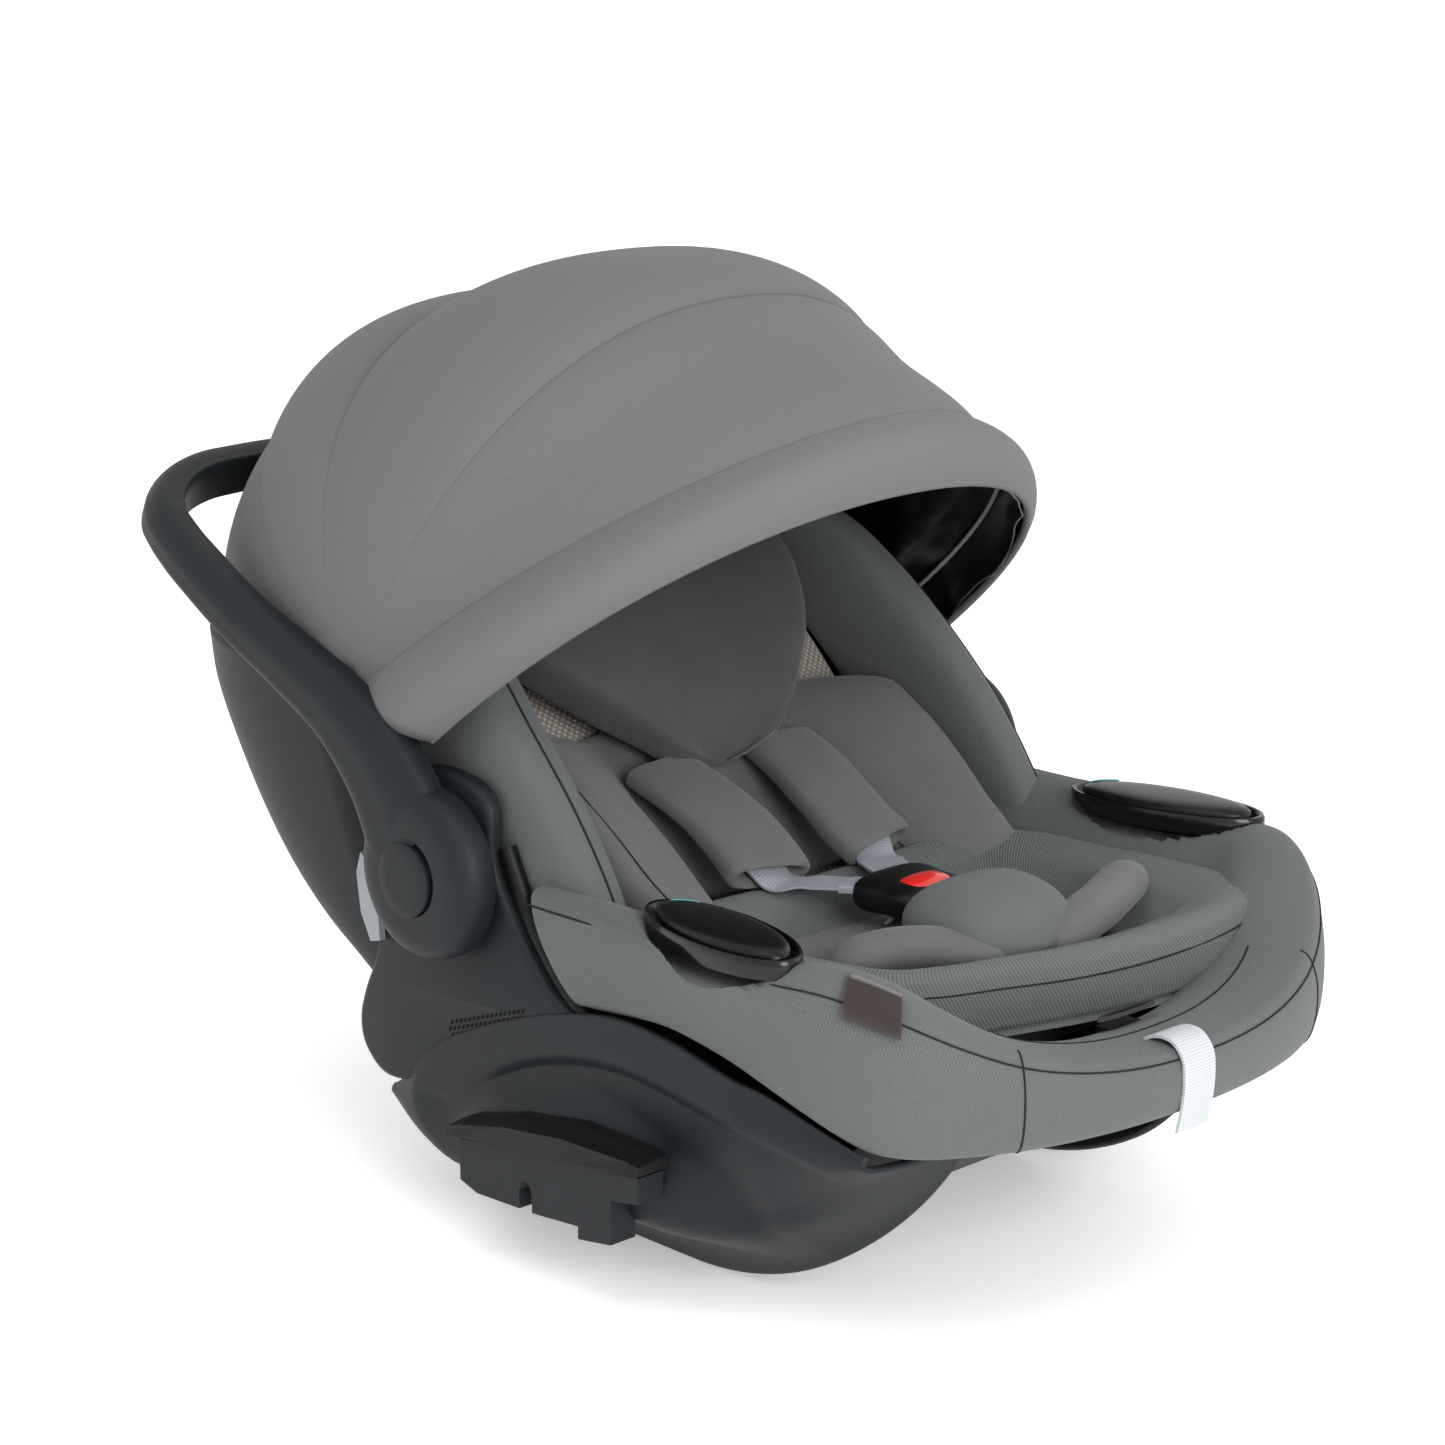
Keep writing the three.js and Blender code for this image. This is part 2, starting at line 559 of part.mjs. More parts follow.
// Small blank woven label, sewn into the crest seam of the right side cover.
function sideLabel() {
  const place = (s, out, z) => {
    const [x, y] = rimPoint(s);
    const [x1, y1] = rimPoint(s + 0.01);
    const length = Math.hypot(x1 - x, y1 - y);
    return [x + ((y1 - y) / length) * out, y - ((x1 - x) / length) * out, z];
  };
  const row = (s) => {
    const top = crestHeight(rimPoint(s)[1]);
    return [[9, top - 5], [10.6, top - 4.6], [14.6, top - 24], [13, top - 24.4]].map(([o, z]) => place(s, o, z));
  };
  return loft([0.14, 0.175, 0.21].map(row));
}

// ---------------------------------------------------------------- seat pads
// A point at distance s up the backrest and n in front of it.
const onBack = (s, n) => [
  BIGHT.y + s * Math.cos(SLOPE) - n * Math.sin(SLOPE),
  BIGHT.z + s * Math.sin(SLOPE) + n * Math.cos(SLOPE),
];

// A rounded pad lofted up the backrest: rows of [s, n0, n1, x0, x1].
function backPad(rows, softness = 0.3) {
  const corners = [[0, softness], [softness * 0.5, 0], [1 - softness * 0.5, 0], [1, softness], [1, 1 - softness],
    [1 - softness * 0.5, 1], [softness * 0.5, 1], [0, 1 - softness]];
  return loft(rows.map(([s, n0, n1, x0, x1]) => corners.map(([u, v]) => {
    const [y, z] = onBack(s, lerp(n0, n1, v));
    return [lerp(x0, x1, u), y, z];
  })));
}

const wing = (side) => backPad([
  [32, 8, 66, 152, 174], [60, 0, 70, 150, 176], [120, -4, 70, 149, 174], [170, -4, 68, 146, 166],
  [215, -2, 62, 136, 154], [245, 4, 50, 126, 142],
].map(([s, n0, n1, x0, x1]) => [s, n0, n1, side * x0, side * x1]));

const foamLiner = () => acrossX([
  onBack(262, -18), onBack(10, -18), [-50, 132], [-216, 135], [-216, 122], [-200, 112], [-50, 106],
  onBack(0, -46), onBack(262, -46),
], -136, 136);

const backCushion = () => backPad([
  [14, -16, -2, -138, 138], [120, -17, -1, -140, 140], [215, -17, -1, -134, 134], [262, -16, -4, -112, 112],
]);

const headrest = () => backPad([
  [122, 3, 14, -48, 48], [134, 2, 26, -66, 66], [165, 2, 38, -96, 96], [210, 2, 44, -120, 120],
  [250, 3, 42, -118, 118], [270, 6, 24, -92, 92],
]);

const insertSide = (side) => backPad([
  [-34, 58, 82, 80, 110], [-8, 24, 66, 72, 124], [14, 6, 62, 72, 134], [50, 3, 62, 78, 140], [90, 3, 58, 90, 140],
  [116, 8, 42, 100, 134],
].map(([s, n0, n1, x0, x1]) => [s, n0, n1, side * x0, side * x1]));

const insertBack = () => backPad([[24, 2, 11, -68, 68], [70, 1, 13, -74, 74], [114, 2, 9, -84, 84]]);

// Level pads: rows of [y, z0, z1, half width].
function levelPad(rows, softness = 0.3) {
  const corners = [[-1, 1 - softness], [-0.86, 1], [0.86, 1], [1, 1 - softness], [1, softness], [0.9, 0],
    [-0.9, 0], [-1, softness]];
  return loft(rows.map(([y, z0, z1, half]) => corners.map(([u, v]) => [u * half, y, lerp(z0, z1, v)])));
}

const seatCushion = () => levelPad([
  [-50, 137, 144, 128], [-90, 137, 152, 138], [-150, 138, 163, 140], [-195, 139, 174, 139], [-222, 140, 178, 134],
  [-246, 143, 172, 116], [-262, 149, 162, 84],
]);
const insertSeat = () => levelPad([[-62, 152, 156, 56], [-80, 153, 166, 66], [-112, 159, 170, 74], [-131, 163, 172, 64]]);
const crotchPad = () => levelPad([[-192, 176, 182, 24], [-180, 174, 199, 34], [-166, 171, 202, 34], [-153.5, 170, 194, 28]]);

// ---------------------------------------------------------------- harness
const BUCKLE = { rear: -103, front: -151, low: 177, high: 197, half: 27 };
const RED_BUTTON = { half: 15, rear: -128, front: -146, travel: 4 };

function buckleBody() {
  const { rear, front, low, high, half } = BUCKLE;
  const body = levelPad([
    [rear, low + 3, high - 3, half - 6], [rear - 6, low, high, half], [front + 10, low, high, half - 1],
    [front, low + 4, high - 5, half - 9],
  ]);
  const pocket = block(-RED_BUTTON.half - GAP, RED_BUTTON.half + GAP, RED_BUTTON.front - GAP,
    RED_BUTTON.rear + GAP, high - 11, high + 5);
  return cut(body, pocket);
}

const buckleButton = () => block(-RED_BUTTON.half, RED_BUTTON.half, RED_BUTTON.front, RED_BUTTON.rear,
  BUCKLE.high - 5.5, BUCKLE.high + 2);

const tongue = (side) => block(side * 4, side * 25, -102.6, -84, 184.5, 189.5);

// Webbing from a tongue up to the slots in the backrest, under the shoulder pad.
function shoulderStrap(side) {
  const route = [[-83.5, 187, 15], onBack(4, 43).concat(30), onBack(40, 33).concat(38), onBack(86, 16).concat(44),
    onBack(116, 11.5).concat(46)];
  return loft(route.map(([y, z, x]) => [[-13, -1], [13, -1], [13, 1], [-13, 1]].map(([dx, dz]) =>
    [side * (x + dx), y, z + dz])));
}

// Padded sleeve over the webbing; it is a closed pad laid on top of the strap.
function shoulderPad(side) {
  const rows = [[4, 46, 57, 34], [12, 43.5, 60, 34], [45, 34.5, 52, 39], [84, 20, 35, 44], [94, 18.5, 26, 45]];
  return backPad(rows.map(([s, n0, n1, x]) => [s, n0, n1, side * (x - 26), side * (x + 25)]));
}

const crotchStrap = () => block(-19, 19, -131, -124, 173, 176.5);

// ---------------------------------------------------------------- front adjuster
const ADJUSTER = { rear: -266, front: -284, low: 141, high: 149 };
const adjusterButton = () => block(-12, 12, ADJUSTER.front, ADJUSTER.rear, ADJUSTER.low, ADJUSTER.high);

// The pull strap comes over the front cover's crest and hangs down its outer face.
function adjusterStrap() {
  const outline = [[-303, 152], [-312, 155.6], [-321, 155.4], [-326.5, 148], [-329.4, 138], [-328.6, 124], [-325.8, 110],
    [-327.8, 109], [-330.6, 124], [-331.6, 138], [-328.6, 149.4], [-322, 157.6], [-311, 158], [-302, 154.4]];
  return acrossX(outline, -24, 6);
}

// ---------------------------------------------------------------- assembly
add("lower_shell", lowerShell(), PLASTIC);
add("back_shell", backShell(), PLASTIC);
addPair("side_panel", sidePanel, PLASTIC);
addPair("hub_post", hubPost, PLASTIC);
addPair("adaptor_cap", adaptorCap, PLASTIC);
addPair("adaptor_block", adaptorBlock, PLASTIC);
addPair("belt_guide", beltGuide, HOOK_GREY);
addPair("lock_gear", lockGear, STEEL);
addPair("pivot_bolt", pivotBolt, STEEL);

addPair("handle_arm", handleArm, PLASTIC);
add("handle_bar", handleBar(), PLASTIC);
addPair("hub_button", hubButton, PLASTIC);

addPair("canopy_mount", canopyMount, PLASTIC);
add("canopy_rear", canopySection(REAR_SECTION, 7), CANOPY_GREY);
add("canopy_mid", canopySection(MID_SECTION), CANOPY_GREY);
add("canopy_front", canopySection(FRONT_SECTION, 4), CANOPY_GREY);
add("canopy_visor", visor(), CANOPY_GREY);
add("bow_rear", bow(REAR_SECTION, 72), PLASTIC);
add("bow_mid", bow(MID_SECTION, 114.7), PLASTIC);
add("bow_front", bow(FRONT_SECTION, 143.7), PLASTIC);

addPair("side_cover", sideCover, KNIT_GREY);
add("front_cover", rimPad(SEAM_S + 0.004, 1 - SEAM_S - 0.004, 10), KNIT_GREY);
addPair("lever_pocket", leverPocket, GLOSS);
addPair("release_lever", leverLid, GLOSS);
add("side_label", sideLabel(), TAG_BROWN);

add("foam_liner", foamLiner(), FOAM);
addPair("wing_pad", wing, KNIT_GREY);
add("back_cushion", backCushion(), MESH_BEIGE);
add("headrest", headrest(), SUEDE_GREY);
add("seat_cushion", seatCushion(), KNIT_GREY);
addPair("insert_side", insertSide, SUEDE_GREY);
add("insert_back", insertBack(), SUEDE_GREY);
add("insert_seat", insertSeat(), SUEDE_GREY);
add("crotch_pad", crotchPad(), KNIT_GREY);

addPair("shoulder_strap", shoulderStrap, WEBBING);
addPair("shoulder_pad", shoulderPad, SUEDE_GREY);
addPair("tongue", tongue, WEBBING);
add("buckle_body", buckleBody(), PLASTIC);
add("buckle_button", buckleButton(), RED);
add("crotch_strap", crotchStrap(), WEBBING);
add("adjuster_button", adjusterButton(), PLASTIC);
add("adjuster_strap", adjusterStrap(), PALE_WEBBING);

export default seat;
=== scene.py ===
"""Looks of the infant car seat: every visible piece is shaped and finished here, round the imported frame.

Lengths are in millimetres in the design axes of the part (+Z up, -Y towards the feet, +X towards the
child's left) and are turned into metres of the row frame as each mesh is made.
"""

import math

import bmesh
import bpy
import numpy as np
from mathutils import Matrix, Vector, noise


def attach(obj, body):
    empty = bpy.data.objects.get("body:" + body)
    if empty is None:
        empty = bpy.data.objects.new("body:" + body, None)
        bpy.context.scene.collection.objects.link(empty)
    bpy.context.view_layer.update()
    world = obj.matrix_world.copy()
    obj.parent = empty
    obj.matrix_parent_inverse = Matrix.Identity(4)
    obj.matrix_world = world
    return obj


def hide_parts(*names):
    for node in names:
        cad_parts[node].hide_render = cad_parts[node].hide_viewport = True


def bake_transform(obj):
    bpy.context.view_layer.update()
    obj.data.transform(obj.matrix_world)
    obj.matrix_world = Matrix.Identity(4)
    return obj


MM = 0.001
CENTRE_Y = 0.585  # the design axes lie this far from the row frame along Y
SIDES = (("right", -1), ("left", 1))

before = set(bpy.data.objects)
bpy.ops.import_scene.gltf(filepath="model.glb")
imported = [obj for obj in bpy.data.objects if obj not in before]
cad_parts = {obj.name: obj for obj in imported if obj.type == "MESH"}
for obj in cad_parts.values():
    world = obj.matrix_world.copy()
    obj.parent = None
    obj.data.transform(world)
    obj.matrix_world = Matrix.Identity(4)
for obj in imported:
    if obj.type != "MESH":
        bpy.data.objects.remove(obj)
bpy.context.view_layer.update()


# ---------------------------------------------------------------- numbers and curves
def curve(pairs):
    """A smooth curve through (input, output) pairs that holds its end values."""
    xs, ys = np.array(pairs, float).T
    slopes = np.gradient(ys, xs)

    def read(x):
        x = np.clip(np.asarray(x, float), xs[0], xs[-1])
        i = np.clip(np.searchsorted(xs, x, side="right") - 1, 0, len(xs) - 2)
        span = xs[i + 1] - xs[i]
        t = (x - xs[i]) / span
        start = (1 + 2 * t) * (1 - t) ** 2 * ys[i] + t * (1 - t) ** 2 * span * slopes[i]
        end = t * t * (3 - 2 * t) * ys[i + 1] + t * t * (t - 1) * span * slopes[i + 1]
        return start + end

    return read


def smoothstep(x):
    """Eases from 0 to 1 as x goes from 0 to 1."""
    x = np.clip(x, 0, 1)
    return x * x * (3 - 2 * x)


def lerp(a, b, t):
    """From a to b as t goes from 0 to 1."""
    return a + (b - a) * t


def signed_power(x, power):
    """A power that keeps the sign, for superellipse sections."""
    return np.sign(x) * np.abs(x) ** power


def lengths_along(path):
    """Distance along a line of points, from 0 at its first point."""
    return np.concatenate([[0], np.cumsum(np.linalg.norm(np.diff(path, axis=0), axis=1))])


def directions(path):
    """Unit direction of a line at each of its points."""
    along = np.gradient(path, axis=0)
    along /= np.linalg.norm(along, axis=1)[:, None]
    return along


def closed_spline(points, per_span):
    """A smooth closed loop through the points."""
    p = np.asarray(points, float)
    before, after, beyond = np.roll(p, 1, 0), np.roll(p, -1, 0), np.roll(p, -2, 0)
    loop = []
    for k in range(len(p)):
        for t in np.arange(per_span) / per_span:
            loop.append(0.5 * (2 * p[k] + (after[k] - before[k]) * t
                               + (2 * before[k] - 5 * p[k] + 4 * after[k] - beyond[k]) * t * t
                               + (3 * p[k] - before[k] - 3 * after[k] + beyond[k]) * t ** 3))
    return np.array(loop)


def open_spline(points, count):
    """Evenly spaced points along a smooth open line through the points."""
    p = np.asarray(points, float)
    at = lengths_along(p)
    fine = np.linspace(0, at[-1], 8 * count)
    line = np.stack([curve(list(zip(at, p[:, k])))(fine) for k in range(p.shape[1])], 1)
    along = lengths_along(line)
    even = np.linspace(0, along[-1], count)
    return np.stack([np.interp(even, along, line[:, k]) for k in range(p.shape[1])], 1)


# ---------------------------------------------------------------- materials
def linear(hex_colour):
    """Linear colour of an sRGB hex value."""
    parts = [int(hex_colour[i:i + 2], 16) / 255 for i in (0, 2, 4)]
    return tuple(((c + 0.055) / 1.055) ** 2.4 if c > 0.04045 else c / 12.92 for c in parts) + (1.0,)


def shade(colour, factor):
    """The colour made darker or lighter."""
    return tuple(c * factor for c in colour[:3]) + (1.0,)


def new_material(name, colour, roughness, sheen=0.0, coat=0.0, metallic=0.0, specular=0.2):
    material = bpy.data.materials.new(name)
    material.use_nodes = True
    shader = material.node_tree.nodes["Principled BSDF"]
    shader.inputs["Base Color"].default_value = colour
    shader.inputs["Roughness"].default_value = roughness
    shader.inputs["Sheen Weight"].default_value = sheen
    shader.inputs["Sheen Roughness"].default_value = 0.5
    shader.inputs["Coat Weight"].default_value = coat
    shader.inputs["Coat Roughness"].default_value = 0.08
    shader.inputs["Metallic"].default_value = metallic
    shader.inputs["Specular IOR Level"].default_value = specular
    return material


def add_node(material, kind, **values):
    """A shader node; values set its inputs by name, or else its properties."""
    node = material.node_tree.nodes.new(kind)
    for key, value in values.items():
        if key in node.inputs:
            node.inputs[key].default_value = value
        else:
            setattr(node, key, value)
    return node


def coordinates(material, kind, scale):
    """Texture coordinates in metres times scale; kind is Object or UV."""
    source = add_node(material, "ShaderNodeTexCoord")
    mapping = add_node(material, "ShaderNodeMapping", Scale=scale)
    material.node_tree.links.new(source.outputs[kind], mapping.inputs["Vector"])
    return mapping.outputs["Vector"]


def noise_value(material, scale, detail=4.0, roughness=0.6):
    """Soft cloudy noise over the object."""
    vector = coordinates(material, "Object", (1, 1, 1))
    node = add_node(material, "ShaderNodeTexNoise", Scale=scale, Detail=detail, Roughness=roughness)
    material.node_tree.links.new(vector, node.inputs["Vector"])
    return node.outputs["Fac"]


WAVE_PITCH = 0.314  # metres from ridge to ridge of the wave texture at scale 1


def wave_value(material, pitch, direction, angle=0.0, distortion=0.0):
    """Ridges of one pitch in millimetres, across the U or V direction of the surface."""
    source = add_node(material, "ShaderNodeTexCoord")
    mapping = add_node(material, "ShaderNodeMapping", Rotation=(0, 0, math.radians(angle)))
    node = add_node(material, "ShaderNodeTexWave", bands_direction=direction,
                    Scale=WAVE_PITCH / (pitch * MM),
                    Distortion=distortion)
    links = material.node_tree.links
    links.new(source.outputs["UV"], mapping.inputs["Vector"])
    links.new(mapping.outputs["Vector"], node.inputs["Vector"])
    return node.outputs["Fac"]


def combine(material, operation, a, b):
    """A maths node on two sockets or numbers."""
    node = add_node(material, "ShaderNodeMath", operation=operation)
    for socket, value in ((node.inputs[0], a), (node.inputs[1], b)):
        if isinstance(value, float):
            socket.default_value = value
        else:
            material.node_tree.links.new(value, socket)
    return node.outputs["Value"]


def tint(material, factor, low, high, spread=(0.3, 0.7)):
    """Runs the base colour from low to high as the factor goes across the spread."""
    ramp = add_node(material, "ShaderNodeValToRGB")
    ramp.color_ramp.elements[0].position, ramp.color_ramp.elements[1].position = spread
    ramp.color_ramp.elements[0].color, ramp.color_ramp.elements[1].color = low, high
    links = material.node_tree.links
    links.new(factor, ramp.inputs["Fac"])
    links.new(ramp.outputs["Color"], material.node_tree.nodes["Principled BSDF"].inputs["Base Color"])


def bump(material, height, depth, strength=1.0):
    """Relief of a depth in millimetres."""
    node = add_node(material, "ShaderNodeBump", Strength=strength, Distance=depth * MM)
    links = material.node_tree.links
    links.new(height, node.inputs["Height"])
    links.new(node.outputs["Normal"], material.node_tree.nodes["Principled BSDF"].inputs["Normal"])


def moulded_plastic(name, hex_colour, roughness, grain=0.12):
    """Injection-moulded plastic with a fine spark-eroded grain."""
    colour = linear(hex_colour)
    material = new_material(name, colour, roughness)
    tint(material, noise_value(material, 60, 3), shade(colour, 0.94), shade(colour, 1.06))
    bump(material, noise_value(material, 2600, 2), grain, 0.35)
    return material


def glossy_plastic(name, hex_colour, coat=1.0):
    """Smooth plastic with a clear coat and a very fine ripple."""
    material = new_material(name, linear(hex_colour), 0.28, coat=coat)
    bump(material, noise_value(material, 900, 2), 0.02, 0.2)
    return material


def woven(name, hex_colour, pitch, contrast, relief, heather=0.0, roughness=0.92, sheen=0.25, angle=0.0):
    """Cloth with crossing threads; heather mixes lighter and darker yarns."""
    colour = linear(hex_colour)
    material = new_material(name, colour, roughness, sheen=sheen)
    warp = wave_value(material, pitch, "X", angle)
    weft = wave_value(material, pitch, "Y", angle)
    threads = combine(material, "MULTIPLY", warp, weft)
    yarn = noise_value(material, 1400, 2, 0.7)
    cloud = noise_value(material, 18, 3)
    mixed = combine(material, "ADD", combine(material, "MULTIPLY", threads, 1.0 - heather),
                    combine(material, "MULTIPLY", yarn, heather))
    mixed = combine(material, "ADD", combine(material, "MULTIPLY", mixed, 0.8),
                    combine(material, "MULTIPLY", cloud, 0.2))
    tint(material, mixed, shade(colour, 1 - contrast), shade(colour, 1 + contrast), (0.25, 0.65))
    bump(material, combine(material, "ADD", threads, combine(material, "MULTIPLY", yarn, 0.4)), relief)
    return material


def ribbed(name, hex_colour, pitch, contrast, relief, angle):
    """Knit with fine slanted ribs and a heathered yarn."""
    colour = linear(hex_colour)
    material = new_material(name, colour, 0.93, sheen=0.1)
    ribs = wave_value(material, pitch, "X", angle)
    loops = wave_value(material, pitch * 0.8, "Y", angle)
    yarn = noise_value(material, 1500, 2, 0.7)
    mixed = combine(material, "ADD", combine(material, "MULTIPLY", ribs, 0.55),
                    combine(material, "MULTIPLY", yarn, 0.45))
    tint(material, mixed, shade(colour, 1 - contrast), shade(colour, 1 + contrast), (0.2, 0.75))
    bump(material, combine(material, "ADD", ribs, combine(material, "MULTIPLY", loops, 0.5)), relief)
    return material


def brushed(name, hex_colour):
    """Short-pile suede-like cloth: soft patches and no visible thread."""
    colour = linear(hex_colour)
    material = new_material(name, colour, 0.95, sheen=0.15)
    pile = combine(material, "ADD", combine(material, "MULTIPLY", noise_value(material, 30, 4), 0.6),
                   combine(material, "MULTIPLY", noise_value(material, 1100, 2), 0.4))
    tint(material, pile, shade(colour, 0.88), shade(colour, 1.12))
    bump(material, noise_value(material, 900, 3), 0.25, 0.6)
    return material


def spacer_mesh(name, hex_colour):
    """Open knit with rows of small holes."""
    colour = linear(hex_colour)
    material = new_material(name, colour, 0.9, sheen=0.2)
    holes = combine(material, "MULTIPLY", wave_value(material, 3.4, "X", 45),
                    wave_value(material, 3.4, "Y", 45))
    tint(material, holes, shade(colour, 0.5), shade(colour, 1.1), (0.02, 0.3))
    bump(material, holes, 0.8)
    return material


def webbing_cloth(name, hex_colour):
    """Satin polyester webbing with fine cross ribs."""
    colour = linear(hex_colour)
    material = new_material(name, colour, 0.42, sheen=0.1)
    ribs = wave_value(material, 1.6, "Y")
    tint(material, ribs, shade(colour, 0.88), shade(colour, 1.05), (0.2, 0.8))
    bump(material, ribs, 0.2, 0.7)
    return material


CHARCOAL = moulded_plastic("charcoal_plastic", "1a1e21", 0.5)
DARK_TRIM = moulded_plastic("dark_trim", "0e1011", 0.42)
# Near black for slots and vent holes: painted shade inside the openings.
HOLE_SHADE = new_material("hole_shade", linear("060708"), 0.9)
GLOSS_BLACK = glossy_plastic("gloss_black", "0b0c0d", 0.3)
LID_BLACK = moulded_plastic("lid_black", "121416", 0.3, 0.03)
TEAL = glossy_plastic("teal_accent", "5f9ea3", 0.5)
RED = glossy_plastic("red_button", "d92c28", 0.7)
STEEL = new_material("zinc_steel", linear("9a9da0"), 0.35, metallic=1.0)
HOOK_GREY = moulded_plastic("hook_grey", "8f9698", 0.45)
CANOPY = woven("canopy_cloth", "646566", 0.9, 0.05, 0.05, sheen=0.05)
LINING = new_material("satin_lining", linear("101012"), 0.34, specular=0.4)
ELASTIC = woven("grey_elastic", "8b8c8c", 1.2, 0.1, 0.1)
KNIT = woven("heathered_knit", "585c5c", 1.1, 0.16, 0.16, heather=0.55, sheen=0.1, angle=45)
RIB_KNIT = ribbed("ribbed_knit", "585d5d", 1.9, 0.24, 0.35, 32)
SUEDE = brushed("suede_cloth", "5b5c5c")
# Darker copy of the suede for the headrest: partly a darker cloth, partly painted shade where it sits deep in
# the seat.
HEAD_SUEDE_TONE_AND_SHADE = brushed("headrest_suede_tone_and_shade", "454646")
MESH = spacer_mesh("spacer_mesh", "a8a196")
FOAM = new_material("grey_foam", linear("3a3c3e"), 0.95)
WEBBING = webbing_cloth("silver_webbing", "8f949d")
PALE_STRAP = webbing_cloth("pale_strap", "b3b8ba")
TONGUE = moulded_plastic("tongue_grey", "9ca3ad", 0.35)
LABEL = woven("label_tape", "332b29", 0.8, 0.15, 0.1)
THREAD = new_material("dark_thread", linear("1c1e1f"), 0.9)
# Dark grey for the canopy seam valleys and the strap slot's hem: painted crease shade.
CREASE_SHADE = new_material("crease_shade", linear("3a3b3c"), 0.95)


# ---------------------------------------------------------------- mesh builders
def new_piece(name, points, faces, material, corners_uv=None, sharp=38, flip=False):
    """A mesh from points in millimetres; faces turn outwards, or inwards with flip."""
    placed = np.asarray(points, float) * MM
    placed[:, 1] += CENTRE_Y * MM
    mesh = bpy.data.meshes.new(name)
    mesh.from_pydata(placed.tolist(), [], faces)
    if corners_uv is not None:
        layer = mesh.uv_layers.new(name="UVMap")
        layer.data.foreach_set("uv", (np.asarray(corners_uv, float) * MM).ravel())
    work = bmesh.new()
    work.from_mesh(mesh)
    bmesh.ops.recalc_face_normals(work, faces=work.faces)
    if flip:
        bmesh.ops.reverse_faces(work, faces=work.faces)
    work.to_mesh(mesh)
    work.free()
    mesh.shade_smooth()
    mesh.set_sharp_from_angle(angle=math.radians(sharp))
    mesh.materials.append(material)
    piece = bpy.data.objects.new(name, mesh)
    bpy.context.scene.collection.objects.link(piece)
    return piece


def surface(name, grid, material, loop=False, caps=False, sharp=38, flip=False):
    """A skin over rows of points. loop closes each row and caps closes the two end rows."""
    grid = np.asarray(grid, float)
    rows, cols = grid.shape[:2]
    closed = np.concatenate([grid, grid[:, :1]], 1) if loop else grid
    middle = closed[rows // 2]
    u = lengths_along(middle)
    spine = grid.mean(1) if loop else grid[:, cols // 2]
    v = lengths_along(spine)
    faces, uv = [], []
    for i in range(rows - 1):
        for j in range(closed.shape[1] - 1):
            k = (j + 1) % cols
            faces.append((i * cols + j, i * cols + k, (i + 1) * cols + k, (i + 1) * cols + j))
            uv += [(u[j], v[i]), (u[j + 1], v[i]), (u[j + 1], v[i + 1]), (u[j], v[i + 1])]
    if caps:
        faces += [tuple(range(cols)), tuple(range((rows - 1) * cols, rows * cols))]
        uv += [(0, 0)] * (2 * cols)
    return new_piece(name, grid.reshape(-1, 3), faces, material, uv, sharp, flip)


def tube_rings(path, radius, sides=8, flat=1.0):
    """Rings round a line; flat under 1 squeezes them along the second cross axis."""
    path = np.asarray(path, float)
    along = directions(path)
    turn = np.arange(sides) * 2 * math.pi / sides
    across = np.cross(along[0], (0.3, 0.2, 1.0))
    rings = []
    for point, direction in zip(path, along):
        across = across - direction * (across @ direction)
        across /= np.linalg.norm(across)
        up = np.cross(direction, across)
        rings.append(point + radius * (np.outer(np.cos(turn), across) + flat * np.outer(np.sin(turn), up)))
    return np.array(rings)


def tubes(name, paths, radius, material, sides=6):
    """One mesh of closed round cords along several lines."""
    points, faces = [], []
    for path in paths:
        rings = tube_rings(path, radius, sides)
        base = len(points)
        count = len(rings)
        points += rings.reshape(-1, 3).tolist()
        for i in range(count - 1):
            for j in range(sides):
                k = (j + 1) % sides
                faces.append(tuple(base + n for n in (i * sides + j, i * sides + k,
                                                      (i + 1) * sides + k, (i + 1) * sides + j)))
        faces.append(tuple(base + j for j in range(sides)))
        faces.append(tuple(base + (count - 1) * sides + j for j in range(sides)))
    return new_piece(name, points, faces, material, sharp=60)


def stitches(name, path, material, pitch=3.8, length=2.9, radius=0.55):
    """A row of single thread stitches lying along a line."""
    path = np.asarray(path, float)
    at = lengths_along(path)
    starts = np.arange(pitch, at[-1] - pitch, pitch)
    ends = [np.stack([np.interp([s, s + length / 2, s + length], at, path[:, k]) for k in range(3)], 1)
            for s in starts]
    return tubes(name, ends, radius, material, 5)


def pillow(name, place, rows, material, power=3.0, ends=(14, 14), dish=0.0, columns=56, steps=44):
    """A stuffed pad: rows of [s, low, high, x0, x1] along s, with rounded sections and ends.

    place(s, n, x) gives the point; dish lowers the middle of the upper face.
    """
    table = np.array(rows, float)
    s0, s1 = table[0, 0], table[-1, 0]
    stations = s0 + (s1 - s0) * (1 - np.cos(np.linspace(0.04, math.pi - 0.04, steps))) / 2
    low, high, x0, x1 = (curve(list(zip(table[:, 0], table[:, k])))(stations) for k in range(1, 5))
    turn = np.arange(columns) * 2 * math.pi / columns
    u, v = signed_power(np.cos(turn), 2 / power), signed_power(np.sin(turn), 2 / power)
    grid = []
    for k, s in enumerate(stations):
        size = 1.0
        for distance, reach in ((s - s0, ends[0]), (s1 - s, ends[1])):
            if distance < reach:
                size = min(size, math.sqrt(1 - (1 - distance / reach) ** 2))
        x = (x0[k] + x1[k]) / 2 + u * (x1[k] - x0[k]) / 2 * size
        n = (low[k] + high[k]) / 2 + v * (high[k] - low[k]) / 2 * size
        n = n - dish * size * (1 - u * u) * np.maximum(v, 0)
        grid.append([place(s, b, a) for a, b in zip(x, n)])
    piece = surface(name, grid, material, loop=True, caps=True, sharp=60)
    return piece, np.array(grid)


